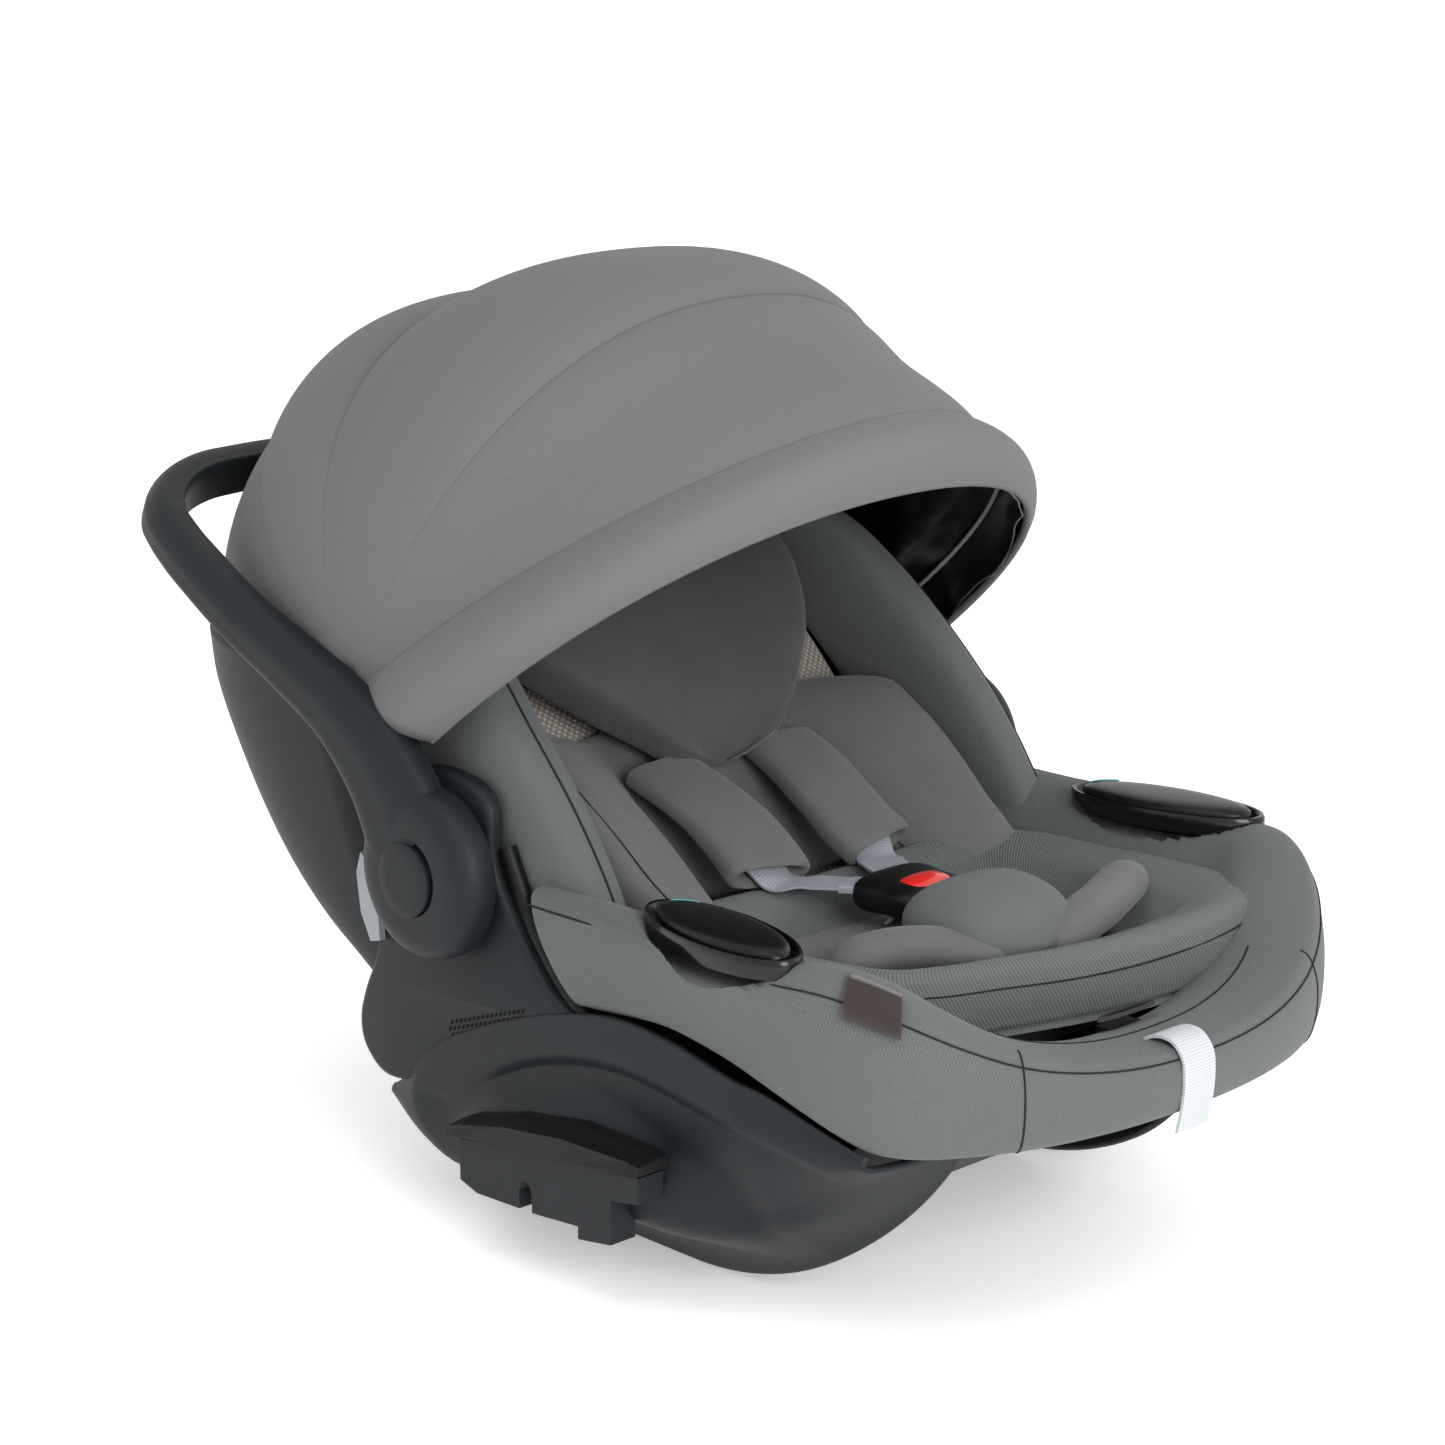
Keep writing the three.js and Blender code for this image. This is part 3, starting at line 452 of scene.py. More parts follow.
def rumple(piece, depth, scale, seed):
    """Moves a skin in and out by a soft wrinkle pattern, in millimetres."""
    offset = Vector((seed * 3.1, seed * 1.7, seed * 2.3))
    for vertex in piece.data.vertices:
        wave = noise.fractal(vertex.co * scale + offset, 0.9, 2.0, 3)
        vertex.co += vertex.normal * wave * depth * MM
    return piece


def lifted(grid_line, centre, lift):
    """A line on a skin moved out from its section centres, so that it lies on top."""
    out = grid_line - centre
    return grid_line + out / np.linalg.norm(out, axis=1)[:, None] * lift


def solidify(piece, thickness):
    """Gives an open skin a thickness in millimetres."""
    modifier = piece.modifiers.new("thickness", "SOLIDIFY")
    modifier.thickness = thickness * MM
    modifier.offset = -1
    return piece


def settle(piece, body="root", stands_for=()):
    """Rides a piece on its body, and hides the CAD parts it stands for."""
    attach(piece, body)
    describe(stands_for)
    return piece


def describe(stands_for=()):
    """Hides the CAD parts that a piece stands for."""
    if stands_for:
        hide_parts(*stands_for)


def show_cad(node, material, bevel=0.0):
    """Shows a CAD node itself, with a finish and softened edges."""
    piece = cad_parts[node]
    piece.data.materials.clear()
    piece.data.materials.append(material)
    if bevel:
        modifier = piece.modifiers.new("edges", "BEVEL")
        modifier.width = bevel * MM
        modifier.segments = 3
        modifier.limit_method = "ANGLE"
        modifier.angle_limit = math.radians(28)
        piece.data.shade_smooth()
        piece.data.set_sharp_from_angle(angle=math.radians(28))
    return piece


# ---------------------------------------------------------------- canopy
PIVOT = np.array([107.0, 287.0])
SEAM_ANGLES = (37.0, 70.0, 116.0, 144.5)
canopy_radius = curve([(-10, 190), (0, 206), (14, 223), (37, 229), (70, 206), (116, 230), (130, 238),
                       (144.5, 270)])
canopy_power = curve([(-6, 3.6), (14, 2.8), (37, 2.35), (70, 2.4), (116, 2.25), (130, 2.05), (144.5, 1.95)])
canopy_half = curve([(-6, 186), (14, 190), (37, 195), (144.5, 196)])
PANEL_BULGE = ((0.0, 37.0, 7.0), (37.0, 70.0, 13.0), (70.0, 116.0, 13.0), (116.0, 144.5, 4.0))
VISOR = {"y": 45.0, "z": 270.0, "angle": 141.5, "radius": 222.0, "power": 2.1, "near": 197.0, "far": 203.0}


def arch(angle, t, radius, half, power, base=PIVOT):
    """Points across an arch that stands on the pivot axis; t runs 0..1 from right to left."""
    turn = np.asarray(t) * math.pi
    x = -signed_power(np.cos(turn), 2 / power) * half
    r = np.sin(turn) ** (2 / power) * radius
    a = math.radians(angle)
    return np.stack([x, base[0] + r * math.cos(a), base[1] + r * math.sin(a)], -1)


def canopy_row(angle, t, inset=0.0):
    """Row of the canopy at an angle, with the panel bulging between its seams."""
    bulge = 0.0
    for low, high, height in PANEL_BULGE:
        if low < angle < high:
            bulge = height * math.sin(math.pi * (angle - low) / (high - low)) ** 0.5
    radius = canopy_radius(angle) + bulge - inset
    return arch(angle, t, radius, canopy_half(angle) - inset, float(canopy_power(angle)))


def visor_row(f, t, inset=0.0):
    """Row of the visor: f runs 0..1 from the front seam to the free edge."""
    top = canopy_row(SEAM_ANGLES[3], t, inset)
    half = lerp(VISOR["near"], VISOR["far"], np.asarray(t)) - inset
    edge = arch(VISOR["angle"], t, VISOR["radius"] - inset, half, VISOR["power"], (VISOR["y"], VISOR["z"]))
    swell = math.sin(math.pi * min(1.0, f) ** 1.3) ** 0.7
    lift = swell * np.sin(np.asarray(t) * math.pi)[:, None]
    spread = swell * -np.cos(np.asarray(t) * math.pi)[:, None]
    return lerp(top, edge, f) + 13 * lift * np.array([0, -0.6, 0.75]) + 12 * spread * np.array([1.0, 0, 0])


def seam_spaced(angles, steps=34):
    """Row angles that crowd towards every seam, so that each valley stays crisp."""
    share = (1 - np.cos(np.linspace(0, math.pi, steps))) / 2
    rows = [lerp(low, high, share[:-1]) for low, high in zip(angles, angles[1:])]
    return np.append(np.concatenate(rows), angles[-1])


ACROSS = np.linspace(0.012, 0.988, 97)
REAR_ANGLES = seam_spaced((-10.0,) + SEAM_ANGLES[:2])
FRONT_ANGLES = seam_spaced(SEAM_ANGLES[1:])


def bend_rear(piece):
    """Bakes the piece's placement into its mesh; no blending from the shell to the middle bow is done."""
    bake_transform(piece)


def bend_front(piece):
    """Bakes the piece's placement into its mesh; no blending from the middle bow to the front bow and visor
    is done.
    """
    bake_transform(piece)


def build_canopy():
    rear = surface("canopy_rear_cloth", [canopy_row(a, ACROSS) for a in REAR_ANGLES], CANOPY, flip=True)
    front_rows = [canopy_row(a, ACROSS) for a in FRONT_ANGLES]
    front = surface("canopy_front_cloth", front_rows, CANOPY, flip=True)
    visor_rows = [visor_row(f, ACROSS) for f in np.linspace(0, 1, 22)]
    edge = visor_row(1, ACROSS)
    inner_edge = visor_row(0.985, ACROSS, 3.5)
    visor_rows += [lerp(edge, inner_edge, 0.5) + np.array([0, -0.6, -1.6]), inner_edge]
    visor = surface("canopy_visor_cloth", visor_rows, CANOPY, flip=True)
    lining_rows = [canopy_row(a, ACROSS, 8) for a in np.linspace(72, 143, 30)]
    lining_rows += [visor_row(f, ACROSS, 8) for f in np.linspace(0.05, 0.97, 30)]
    lining = rumple(surface("canopy_lining", lining_rows, LINING), 5, 22, 4)
    rear_lining = surface("canopy_rear_lining", [canopy_row(a, ACROSS, 5) for a in REAR_ANGLES], LINING)
    stands = {rear.name: ("canopy_rear", "bow_rear"), front.name: ("canopy_mid", "bow_mid"),
              visor.name: ("canopy_front", "canopy_visor", "bow_front")}
    for piece, bend in ((rear, bend_rear), (rear_lining, bend_rear), (front, bend_front),
                        (visor, bend_front), (lining, bend_front)):
        solidify(piece, 1.2)
        describe(stands.get(piece.name, ()))
        bend(piece)
    build_canopy_seams()


def build_canopy_seams():
    across = np.linspace(0.03, 0.97, 220)
    for number, (angle, bend) in enumerate(zip(SEAM_ANGLES, (bend_rear, bend_rear, bend_front, bend_front))):
        line = canopy_row(angle - 1.3, across, -0.3)
        threads = stitches(f"canopy_stitches_{number + 1}", line, THREAD)
        # A dark tube in each seam valley: painted crease shade.
        crease_shade_tube = tubes(f"canopy_fold_{number + 1}", [canopy_row(angle, across, 0.0)], 0.95, CREASE_SHADE)
        for piece in (threads, crease_shade_tube):
            bend(piece)
    hem = stitches("visor_hem_stitches", visor_row(0.95, across, -0.3), THREAD)
    roll = tubes("visor_hem_roll", [visor_row(1, np.linspace(0.012, 0.988, 160), 1.6)], 2.4, CANOPY, 10)
    elastic = tubes("visor_elastic", [visor_row(0.45, np.linspace(0.6, 0.97, 60), 12)], 1.3, ELASTIC)
    for piece in (hem, roll, elastic):
        bend_front(piece)


# ---------------------------------------------------------------- padded rim covers
RIM = {"half": 185.0, "centre": -190.0, "depth": 130.0, "power": 2.3, "rear": -30.0, "seam": 0.31}
crest_height = curve([(-320, 153), (-314, 158), (-303, 167), (-286, 183), (-266, 199), (-243, 208),
                      (-205, 208)])
hem_height = curve([(-320, 116), (-295, 115), (-266, 115), (-256, 117), (-244, 123), (-227, 132), (-203, 142),
                    (-146, 153), (-60, 150)])
SIDE_SECTION = [(-3, 1.0), (5, 0.94), (10, 0.66), (9.5, 0.27), (4, 0.03), (-8, 0.0), (-28, 0.04),
                (-44, 0.28), (-40, 0.56), (-27, 0.84), (-14, 0.97)]
FRONT_SECTION = [(-3, 1.0), (5, 0.94), (10, 0.66), (9.5, 0.27), (4, 0.03), (-8, 0.0), (-30, 0.04),
                 (-58, 0.3), (-58, 0.66), (-42, 0.9), (-20, 1.0)]
SECTION_STEPS = 6
CREST_SEAM = 8  # section position of the crest seam, just under the outer edge
INNER_SEAM = 58  # section position of the seam along the inner edge of the front band
SLOT_CENTRE = np.array([-2.0, -276.0, 157.0])


def rim_plan(s):
    """Plan of the crest line: straight sides outside 0..1, a full curve round the feet inside."""
    if s < 0:
        return -RIM["half"], RIM["centre"] - s * (RIM["rear"] - RIM["centre"])
    if s > 1:
        return RIM["half"], RIM["centre"] + (s - 1) * (RIM["rear"] - RIM["centre"])
    c = math.cos(math.pi * s)
    power = 2 / RIM["power"]
    return (-math.copysign(abs(c) ** power, c) * RIM["half"],
            RIM["centre"] - abs(math.sin(math.pi * s)) ** power * RIM["depth"])


def rim_ring(s, swell=0.0):
    """Section of the padded rim at s, square to the crest line's plan."""
    x, y = rim_plan(s)
    (x0, y0), (x1, y1) = rim_plan(s - 0.01), rim_plan(s + 0.01)
    length = math.hypot(x1 - x0, y1 - y0)
    out = ((y1 - y0) / length, -(x1 - x0) / length)
    front = float(smoothstep((0.5 - abs(s - 0.5)) / 0.3))
    section = closed_spline(lerp(np.array(SIDE_SECTION), np.array(FRONT_SECTION), front), SECTION_STEPS)
    top, low = float(crest_height(y)), float(hem_height(y)) + 2
    offset = section[:, 0] + swell * np.sign(section[:, 0] + 15)
    return np.stack([x + out[0] * offset, y + out[1] * offset, lerp(low, top, section[:, 1])], 1)


LEVER = {"x": 174.0, "y": -160.0, "toe": 10.0, "top": 210.0}
POST_FLANK = curve([(120, -88), (158, -66), (190, -44), (206, -34), (240, -30)])


def lever_frame(points, side):
    """Points in the lever's own axes: along, across, and up from the pocket's rim."""
    toe = math.radians(LEVER["toe"]) * side
    dx, dy = points[..., 0] - side * LEVER["x"], points[..., 1] - LEVER["y"]
    return dy * math.cos(toe) - dx * math.sin(toe), dx * math.cos(toe) + dy * math.sin(toe)


def sink_pocket(grid, side):
    """Hollows the cover under the lever pocket and swells its shoulder round the outer rim."""
    along, across = lever_frame(grid, side)
    height = grid[..., 2]
    shoulder = smoothstep(1 - np.abs(along) / 84) * smoothstep((across * side - 4) / 14)
    shoulder = shoulder * smoothstep((height - 145) / 45)
    reach = np.sqrt((along / 59) ** 2 + (across / 25) ** 2)
    bowl = 192 + 15 * smoothstep((reach - 0.78) / 0.2)
    raised = height + 14 * shoulder * np.clip((207 - height) / 16, 0, 1)
    grid[..., 2] = np.where(reach < 1, np.minimum(raised, np.maximum(bowl, 192)), raised)
    grid[..., 0] += side * 9 * shoulder
    return grid


def build_covers():
    for name, side in SIDES:
        spans = np.linspace(-1, RIM["seam"], 110) if side < 0 else np.linspace(1 - RIM["seam"], 2, 110)
        grid = np.array([rim_ring(s) for s in spans])
        limit = POST_FLANK(grid[..., 2])
        grid[..., 1] = np.where(np.abs(grid[..., 0]) > 150, np.minimum(grid[..., 1], limit), grid[..., 1])
        grid = sink_pocket(grid, side)
        cover = surface(f"{name}_rim_cover", grid, KNIT, loop=True, caps=True, sharp=70)
        settle(cover, stands_for=[f"side_cover_{name}"])
    spans = np.linspace(RIM["seam"], 1 - RIM["seam"], 90)
    front = surface("front_rim_cover", [rim_ring(s) for s in spans], KNIT, loop=True, caps=True, sharp=70)
    settle(front, stands_for=["front_cover"])
    build_rim_seams()


def build_rim_seams():
    crest = []
    for low, high in ((-0.98, -0.66), (0.03, RIM["seam"]), (RIM["seam"], 1 - RIM["seam"]),
                      (1 - RIM["seam"], 0.97), (1.66, 1.98)):
        crest.append([rim_ring(s, 0.15)[CREST_SEAM] for s in np.linspace(low, high, 90)])
    line = tubes("crest_seams", crest, 0.55, THREAD)
    bands = [rim_ring(s, 0.15)[2:28] for s in (RIM["seam"], 1 - RIM["seam"])]
    joins = tubes("band_seams", bands, 0.55, THREAD)
    inner = [rim_ring(s, 0.15)[INNER_SEAM] for s in np.linspace(RIM["seam"], 1 - RIM["seam"], 90)]
    band = tubes("front_band_seam", [inner], 0.6, THREAD)
    turn = np.linspace(0, 2 * math.pi, 41)[:-1]
    hem = [np.stack([20 * size * np.cos(turn), SLOT_CENTRE[1] + 4.5 * size * np.sin(turn),
                     SLOT_CENTRE[2] - 0.25 * 4.5 * size * np.sin(turn) + lift], 1)
           for size, lift in ((1.12, -1.5), (1.08, 0.9), (1.0, 0.9), (0.94, -1.5))]
    # The slot's hem ring is painted crease shade, and the slot itself is a dark sheet of painted shade.
    rim = surface("strap_slot_rim", hem, CREASE_SHADE, loop=True)
    slot_shade = surface("strap_slot_shade", [hem[3] + np.array([0, 0, 1.4]), hem[3] * 0.5 + 0.5 * SLOT_CENTRE],
                   HOLE_SHADE, loop=True, caps=True)
    for piece in (line, joins, band, rim, slot_shade):
        settle(piece)


# ---------------------------------------------------------------- release levers
def oval(along, across, height, side, count=72):
    """A level oval ring round the lever's centre."""
    turn = np.arange(count) * 2 * math.pi / count
    a, b = 1.05 * along * np.cos(turn), 0.93 * across * np.sin(turn)
    toe = math.radians(LEVER["toe"]) * side
    x = side * LEVER["x"] + b * math.cos(toe) - a * math.sin(toe)
    y = LEVER["y"] + a * math.cos(toe) + b * math.sin(toe)
    return np.stack([x, y, np.full(count, LEVER["top"] + height)], 1)


def build_levers():
    pocket_profile = [(46, 19, -12), (50, 21.5, -9), (53, 23.5, -1), (54.5, 24.6, 1.6), (56.5, 25.8, 1.9),
                      (57.5, 26.4, 0.5), (57.5, 26.4, -4), (55, 25, -9)]
    lid_profile = [(44, 18, -3), (47.5, 20, -2.4), (50, 21.2, 0.6), (49.4, 20.8, 2.6), (47, 19.6, 4.2),
                   (40, 16, 5.4), (24, 10, 5.9), (2, 1, 6.0)]
    mark_profile = [(49.9, 21.2, 1.6), (48.6, 20.4, 3.7), (45.6, 18.9, 4.9)]
    for name, side in SIDES:
        pocket = surface(f"{name}_lever_pocket", [oval(a, b, h, side) for a, b, h in pocket_profile],
                         GLOSS_BLACK, loop=True, caps=True, sharp=50)
        settle(pocket, stands_for=[f"lever_pocket_{name}"])
        lid = surface(f"{name}_lever_lid", [oval(a, b, h, side) for a, b, h in lid_profile],
                      LID_BLACK, loop=True, caps=True, sharp=50)
        settle(lid, f"{name}_lever", [f"release_lever_{name}"])
        mark = [oval(a, b, h, side)[1:9] for a, b, h in mark_profile]
        accent = surface(f"{name}_lever_accent", mark, TEAL, flip=side > 0)
        settle(solidify(accent, 0.6), f"{name}_lever")


# ---------------------------------------------------------------- seat soft goods
BIGHT = (-31.0, 150.0)
SLOPE = math.radians(45)


def on_back(s, n, x):
    """A point s up the backrest and n in front of it."""
    return (x, BIGHT[0] + s * math.cos(SLOPE) - n * math.sin(SLOPE),
            BIGHT[1] + s * math.sin(SLOPE) + n * math.cos(SLOPE))


def level(y, z, x):
    """Places a pillow on the level, along Y."""
    return (x, y, z)


def leaning(s, n, x):
    """On the backrest, but with the upper face falling towards the middle of the seat."""
    return on_back(s, n - 0.5 * (140 - abs(x)) * min(max(n / 50, 0), 1), x)


def mirrored(rows, side):
    """Pillow rows for one side of the seat."""
    return [[s, n0, n1, side * x0, side * x1] for s, n0, n1, x0, x1 in rows]


def build_wings():
    rows = [[-8, 14, 60, 152, 176], [30, 4, 69, 149, 178], [60, 0, 73, 147, 179], [120, -4, 74, 144, 178],
            [170, -4, 72, 140, 172], [215, -2, 66, 132, 160], [248, 4, 50, 122, 146]]
    for name, side in SIDES:
        pad, grid = pillow(f"{name}_wing", on_back, mirrored(rows, side), KNIT, 3.4, (10, 22))
        settle(pad, stands_for=[f"wing_pad_{name}"])
        centre = grid.mean(1)
        edge = 9 if side > 0 else 14
        line = tubes(f"{name}_wing_seam", [lifted(grid[1:-1, edge], centre[1:-1], 0.2)], 0.7, THREAD)
        settle(line)


def build_backrest():
    mesh_rows = [[14, -16, -2, -138, 138], [120, -17, -1, -146, 146], [215, -17, -1, -140, 140],
                 [262, -16, -4, -118, 118]]
    back, _ = pillow("back_mesh", on_back, mesh_rows, MESH, 6, (6, 10))
    settle(back, stands_for=["back_cushion"])
    head_rows = [[92, 20, 34, -22, 22], [98, 17, 45, -36, 36], [114, 14, 55, -56, 56], [140, 10, 62, -82, 82],
                 [182, 5, 61, -112, 112], [232, 2, 54, -122, 122], [270, 4, 34, -104, 104]]
    head, _ = pillow("headrest_pad", on_back, head_rows, HEAD_SUEDE_TONE_AND_SHADE, 3.2, (8, 24), dish=20)
    settle(rumple(head, 1.2, 16, 2), "head_support", ["headrest"])
    lumbar_rows = [[20, 2, 12, -68, 68], [70, 1, 14, -76, 76], [118, 2, 11, -92, 92], [138, 1, 7, -90, 90]]
    lumbar, _ = pillow("insert_back_pad", on_back, lumbar_rows, SUEDE, 3, (8, 8))
    settle(rumple(lumbar, 1.0, 20, 5), stands_for=["insert_back"])


def build_inserts():
    rows = [[-60, 44, 78, 92, 124], [-36, 34, 82, 80, 130], [-10, 16, 78, 70, 136], [14, 5, 72, 64, 140],
            [50, 3, 66, 60, 143], [90, 3, 56, 58, 144], [118, 4, 46, 48, 142], [138, 6, 34, 60, 130]]
    for name, side in SIDES:
        pad, grid = pillow(f"{name}_insert_pad", leaning, mirrored(rows, side), SUEDE, 2.8, (22, 30))
        rumple(pad, 0.8, 18, 3 + side)
        settle(pad, stands_for=[f"insert_side_{name}"])
        edge = 20 if side > 0 else 8
        line = tubes(f"{name}_insert_seam", [lifted(grid[2:-2, edge], grid.mean(1)[2:-2], 0.1)], 0.45, THREAD)
        settle(line)
    seat_rows = [[-166, 160, 176, -60, 60], [-150, 157, 176, -76, 76], [-112, 154, 172, -80, 80],
                 [-62, 150, 160, -62, 62]]
    seat, _ = pillow("insert_seat_pad", level, seat_rows, SUEDE, 3, (14, 14), dish=4)
    settle(rumple(seat, 1.0, 22, 8), stands_for=["insert_seat"])
    lobes = {"right": [(-98, -160, 174), (-66, -174, 180), (-34, -196, 177), (-16, -212, 172)],
             "left": [(6, -214, 172), (30, -210, 178), (66, -203, 183), (96, -193, 187), (112, -185, 186)]}
    for name, _ in SIDES:
        path = open_spline(lobes[name], 40)
        rings = tube_rings(path, 1.0, 32, 0.8)
        from_end = np.minimum(np.arange(40), 39 - np.arange(40))
        size = 15 * np.sqrt(np.clip(1 - (1 - from_end / 8).clip(0) ** 2, 0.02, 1))
        rings = path[:, None] + (rings - path[:, None]) * size[:, None, None]
        lobe = surface(f"{name}_thigh_lobe", rings, SUEDE, loop=True, caps=True, sharp=80)
        settle(rumple(lobe, 0.8, 24, 11))


CUSHION_OUTLINE = [(-132, -188), (-120, -214), (-92, -228), (-50, -238), (-8, -251), (38, -260), (92, -263),
                   (130, -257), (149, -238), (152, -200), (147, -140), (142, -90), (118, -56), (0, -50),
                   (-118, -56), (-140, -90), (-141, -140)]
CUSHION_PROFILE = [(0.0, 158), (0.3, 159), (0.52, 163), (0.7, 173), (0.82, 181), (0.9, 183), (0.96, 180),
                   (0.995, 173), (1.0, 164), (0.985, 154), (0.94, 147), (0.85, 144), (0.4, 143), (0.0, 143)]


def cushion_ring(share, height, outline):
    """The cushion's outline drawn in to a share of its size, at a height."""
    middle = np.array([4.0, -150.0])
    flat = middle + (outline - middle) * share
    rise = 9 * (flat[:, 0] / 150) ** 2 * share ** 2 if height > 160 else 0
    return np.stack([flat[:, 0], flat[:, 1], height + rise + np.zeros(len(flat))], 1)


def build_cushion():
    outline = closed_spline(CUSHION_OUTLINE, 7)
    shares = open_spline(CUSHION_PROFILE, 46)
    shares[0, 0], shares[-1, 0] = 0.01, 0.01
    pad = surface("seat_cushion_pad", [cushion_ring(r, z, outline) for r, z in shares], RIB_KNIT,
                  loop=True, caps=True, sharp=80)
    settle(rumple(pad, 1.2, 12, 6), stands_for=["seat_cushion"])
    seam_ring = cushion_ring(1.003, 170, outline)
    line = tubes("seat_cushion_seam", [seam_ring], 0.55, THREAD)
    settle(line)
    crotch_rows = [[-222, 170, 184, -26, 26], [-206, 168, 198, -38, 38], [-182, 168, 206, -44, 44],
                   [-158, 168, 203, -42, 42], [-146, 168, 196, -34, 34]]
    hump, _ = pillow("crotch_hump", level, crotch_rows, KNIT, 2.6, (14, 14))
    settle(hump, stands_for=["crotch_pad"])


# ---------------------------------------------------------------- harness
RIBBON_CORNERS = ((-1, -1), (-0.5, -1), (0, -1), (0.5, -1), (1, -1),
                  (1, 1), (0.5, 1), (0, 1), (-0.5, 1), (-1, 1))
SLEEVE_ROUTE = [(8, 51, 43), (20, 48, 41), (45, 43, 41), (84, 29, 45), (98, 22, 46)]


def ribbon(name, route, half, thickness, material):
    """A flat strap along a route, as wide as twice half."""
    path = open_spline(route, 40)
    along = directions(path)
    side_axis = np.array([1.0, 0, 0])
    rings = []
    for point, direction in zip(path, along):
        wide = side_axis - direction * (side_axis @ direction)
        wide /= np.linalg.norm(wide)
        thick = np.cross(direction, wide)
        rings.append([point + wide * half * a + thick * thickness / 2 * b for a, b in RIBBON_CORNERS])
    return surface(name, rings, material, loop=True, caps=True, sharp=50)


def sleeve(name, side):
    """Padded sleeve with an open, folded end that the webbing runs out of."""
    route = np.array([on_back(s, n, side * x) for s, n, x in SLEEVE_ROUTE])
    path = open_spline(route, 30)
    along = directions(path)
    turn = np.arange(44) * 2 * math.pi / 44
    u, v = signed_power(np.cos(turn), 2 / 3.2), signed_power(np.sin(turn), 2 / 3.2)

    def ring(k, half, thick):
        wide = np.array([1.0, 0, 0]) - along[k] * along[k][0]
        wide /= np.linalg.norm(wide)
        up = np.cross(along[k], wide)
        return path[k] + np.outer(u * half, wide) + np.outer(v * thick, up)

    inner = [ring(k, 20.5, 5.0) for k in range(6, 0, -1)]
    lip = [ring(0, 21.5, 5.6), ring(0, 24, 7.6) - along[0] * 1.6, ring(0, 26, 9.3)]
    outer = [ring(k, 26.6 - 0.03 * k, 9.8 - 0.08 * k) for k in range(1, 30)]
    return surface(name, inner + lip + outer, SUEDE, loop=True, caps=True, sharp=80)


def build_harness():
    for name, side in SIDES:
        pad = rumple(sleeve(f"{name}_shoulder_sleeve", side), 0.7, 26, 14)
        settle(pad, stands_for=[f"shoulder_pad_{name}"])
        route = [on_back(40, 44, side * 41), on_back(14, 49.5, side * 42), on_back(4, 50, side * 38),
                 (side * 27, -80, 188), (side * 15, -104, 189.5)]
        strap = ribbon(f"{name}_webbing", route, 12.5, 1.4, WEBBING)
        settle(strap, stands_for=[f"shoulder_strap_{name}"])
        clasp = ribbon(f"{name}_tongue", [(side * 19, -96, 188.5), (side * 13, -112, 190)], 11, 4, TONGUE)
        settle(clasp, stands_for=[f"tongue_{name}"])
    build_buckle()


def build_buckle():
    rows = [[-153, 181, 192, -17, 17], [-146, 178, 195.5, -24, 24], [-128, 177, 197, -27, 27],
            [-112, 177, 197.5, -28, 28], [-102, 180, 195, -24, 24]]
    body, _ = pillow("buckle_shell", level, rows, DARK_TRIM, 3.2, (6, 7))
    settle(body, stands_for=["buckle_body"])
    button_rows = [[-147, 190, 196.5, -9, 9], [-142, 189, 198.6, -14, 14], [-134, 189, 199.4, -15, 15],
                   [-128, 190, 198, -14, 14]]
    button, _ = pillow("buckle_red_button", level, button_rows, RED, 2.6, (4, 2))
    settle(button, "buckle_release", ["buckle_button"])
    crotch = ribbon("crotch_webbing", [(0, -125, 173), (0, -131, 178)], 19, 2, WEBBING)
    settle(crotch, stands_for=["crotch_strap"])


# ---------------------------------------------------------------- carry handle
HANDLE_PATH = [(38, 218), (58, 250), (94, 280), (141, 301), (186, 318), (226, 336), (252, 348)]
BAR = {"y": 317.0, "z": 378.0, "half": 118.0, "depth": 25.0}
HUB = {"y": 30.0, "z": 207.0, "radius": 47.0, "inner": 198.0}
HANDLE_SECTION = [(-0.5, -0.38), (-0.42, -0.5), (0.1, -0.5), (0.46, -0.36), (0.5, -0.1), (0.48, 0.14),
                  (0.3, 0.4), (0.06, 0.5), (-0.3, 0.5), (-0.48, 0.4)]


def handle_rings():
    """Rings of the whole handle, from the right hub over the bar to the left hub."""
    toe = [0, 0, 0, 1, 3, 6, 9]
    depth = [66, 56, 41, 33, 29.5, 28, 27]
    arm = [(-(HUB["inner"] + 11 - t), y, z) for (y, z), t in zip(HANDLE_PATH, toe)]
    reach = math.hypot(BAR["y"] - 252, BAR["z"] - 348)
    ahead = np.array([0, (BAR["y"] - 252) / reach, (BAR["z"] - 348) / reach])
    corner = []
    for f in (0.3, 0.6, 0.85, 1.0):
        a = f * math.pi / 2
        point = np.array([0, 252.0, 348.0]) + ahead * math.sin(a) * reach
        point[0] = -lerp(BAR["half"], HUB["inner"] + 2, math.cos(a))
        corner.append(tuple(point))
    half = arm + corner
    line = half + [(0, BAR["y"], BAR["z"])] + [(-x, y, z) for x, y, z in reversed(half)]
    size = depth + [26.5, 26, 25.5, 25] + [25] + [25, 25.5, 26, 26.5] + depth[::-1]
    path = np.array(line, float)
    at = lengths_along(path)
    fine = np.linspace(0, at[-1], 150)
    spine = np.stack([curve(list(zip(at, path[:, k])))(fine) for k in range(3)], 1)
    depths = curve(list(zip(at, size)))(fine)
    section = closed_spline(HANDLE_SECTION, 5)
    along = directions(spine)
    rings = []
    for point, direction, depth_here in zip(spine, along, depths):
        up = np.array([0, -ahead[2], ahead[1]]) if abs(point[0]) < 195 else np.array([0.0, 0, 1])
        wide = np.cross(direction, up)
        wide /= np.linalg.norm(wide)
        up = np.cross(wide, direction)
        rings.append(point - np.outer(section[:, 0] * 22, wide) + np.outer(section[:, 1] * depth_here, up))
    return np.array(rings)


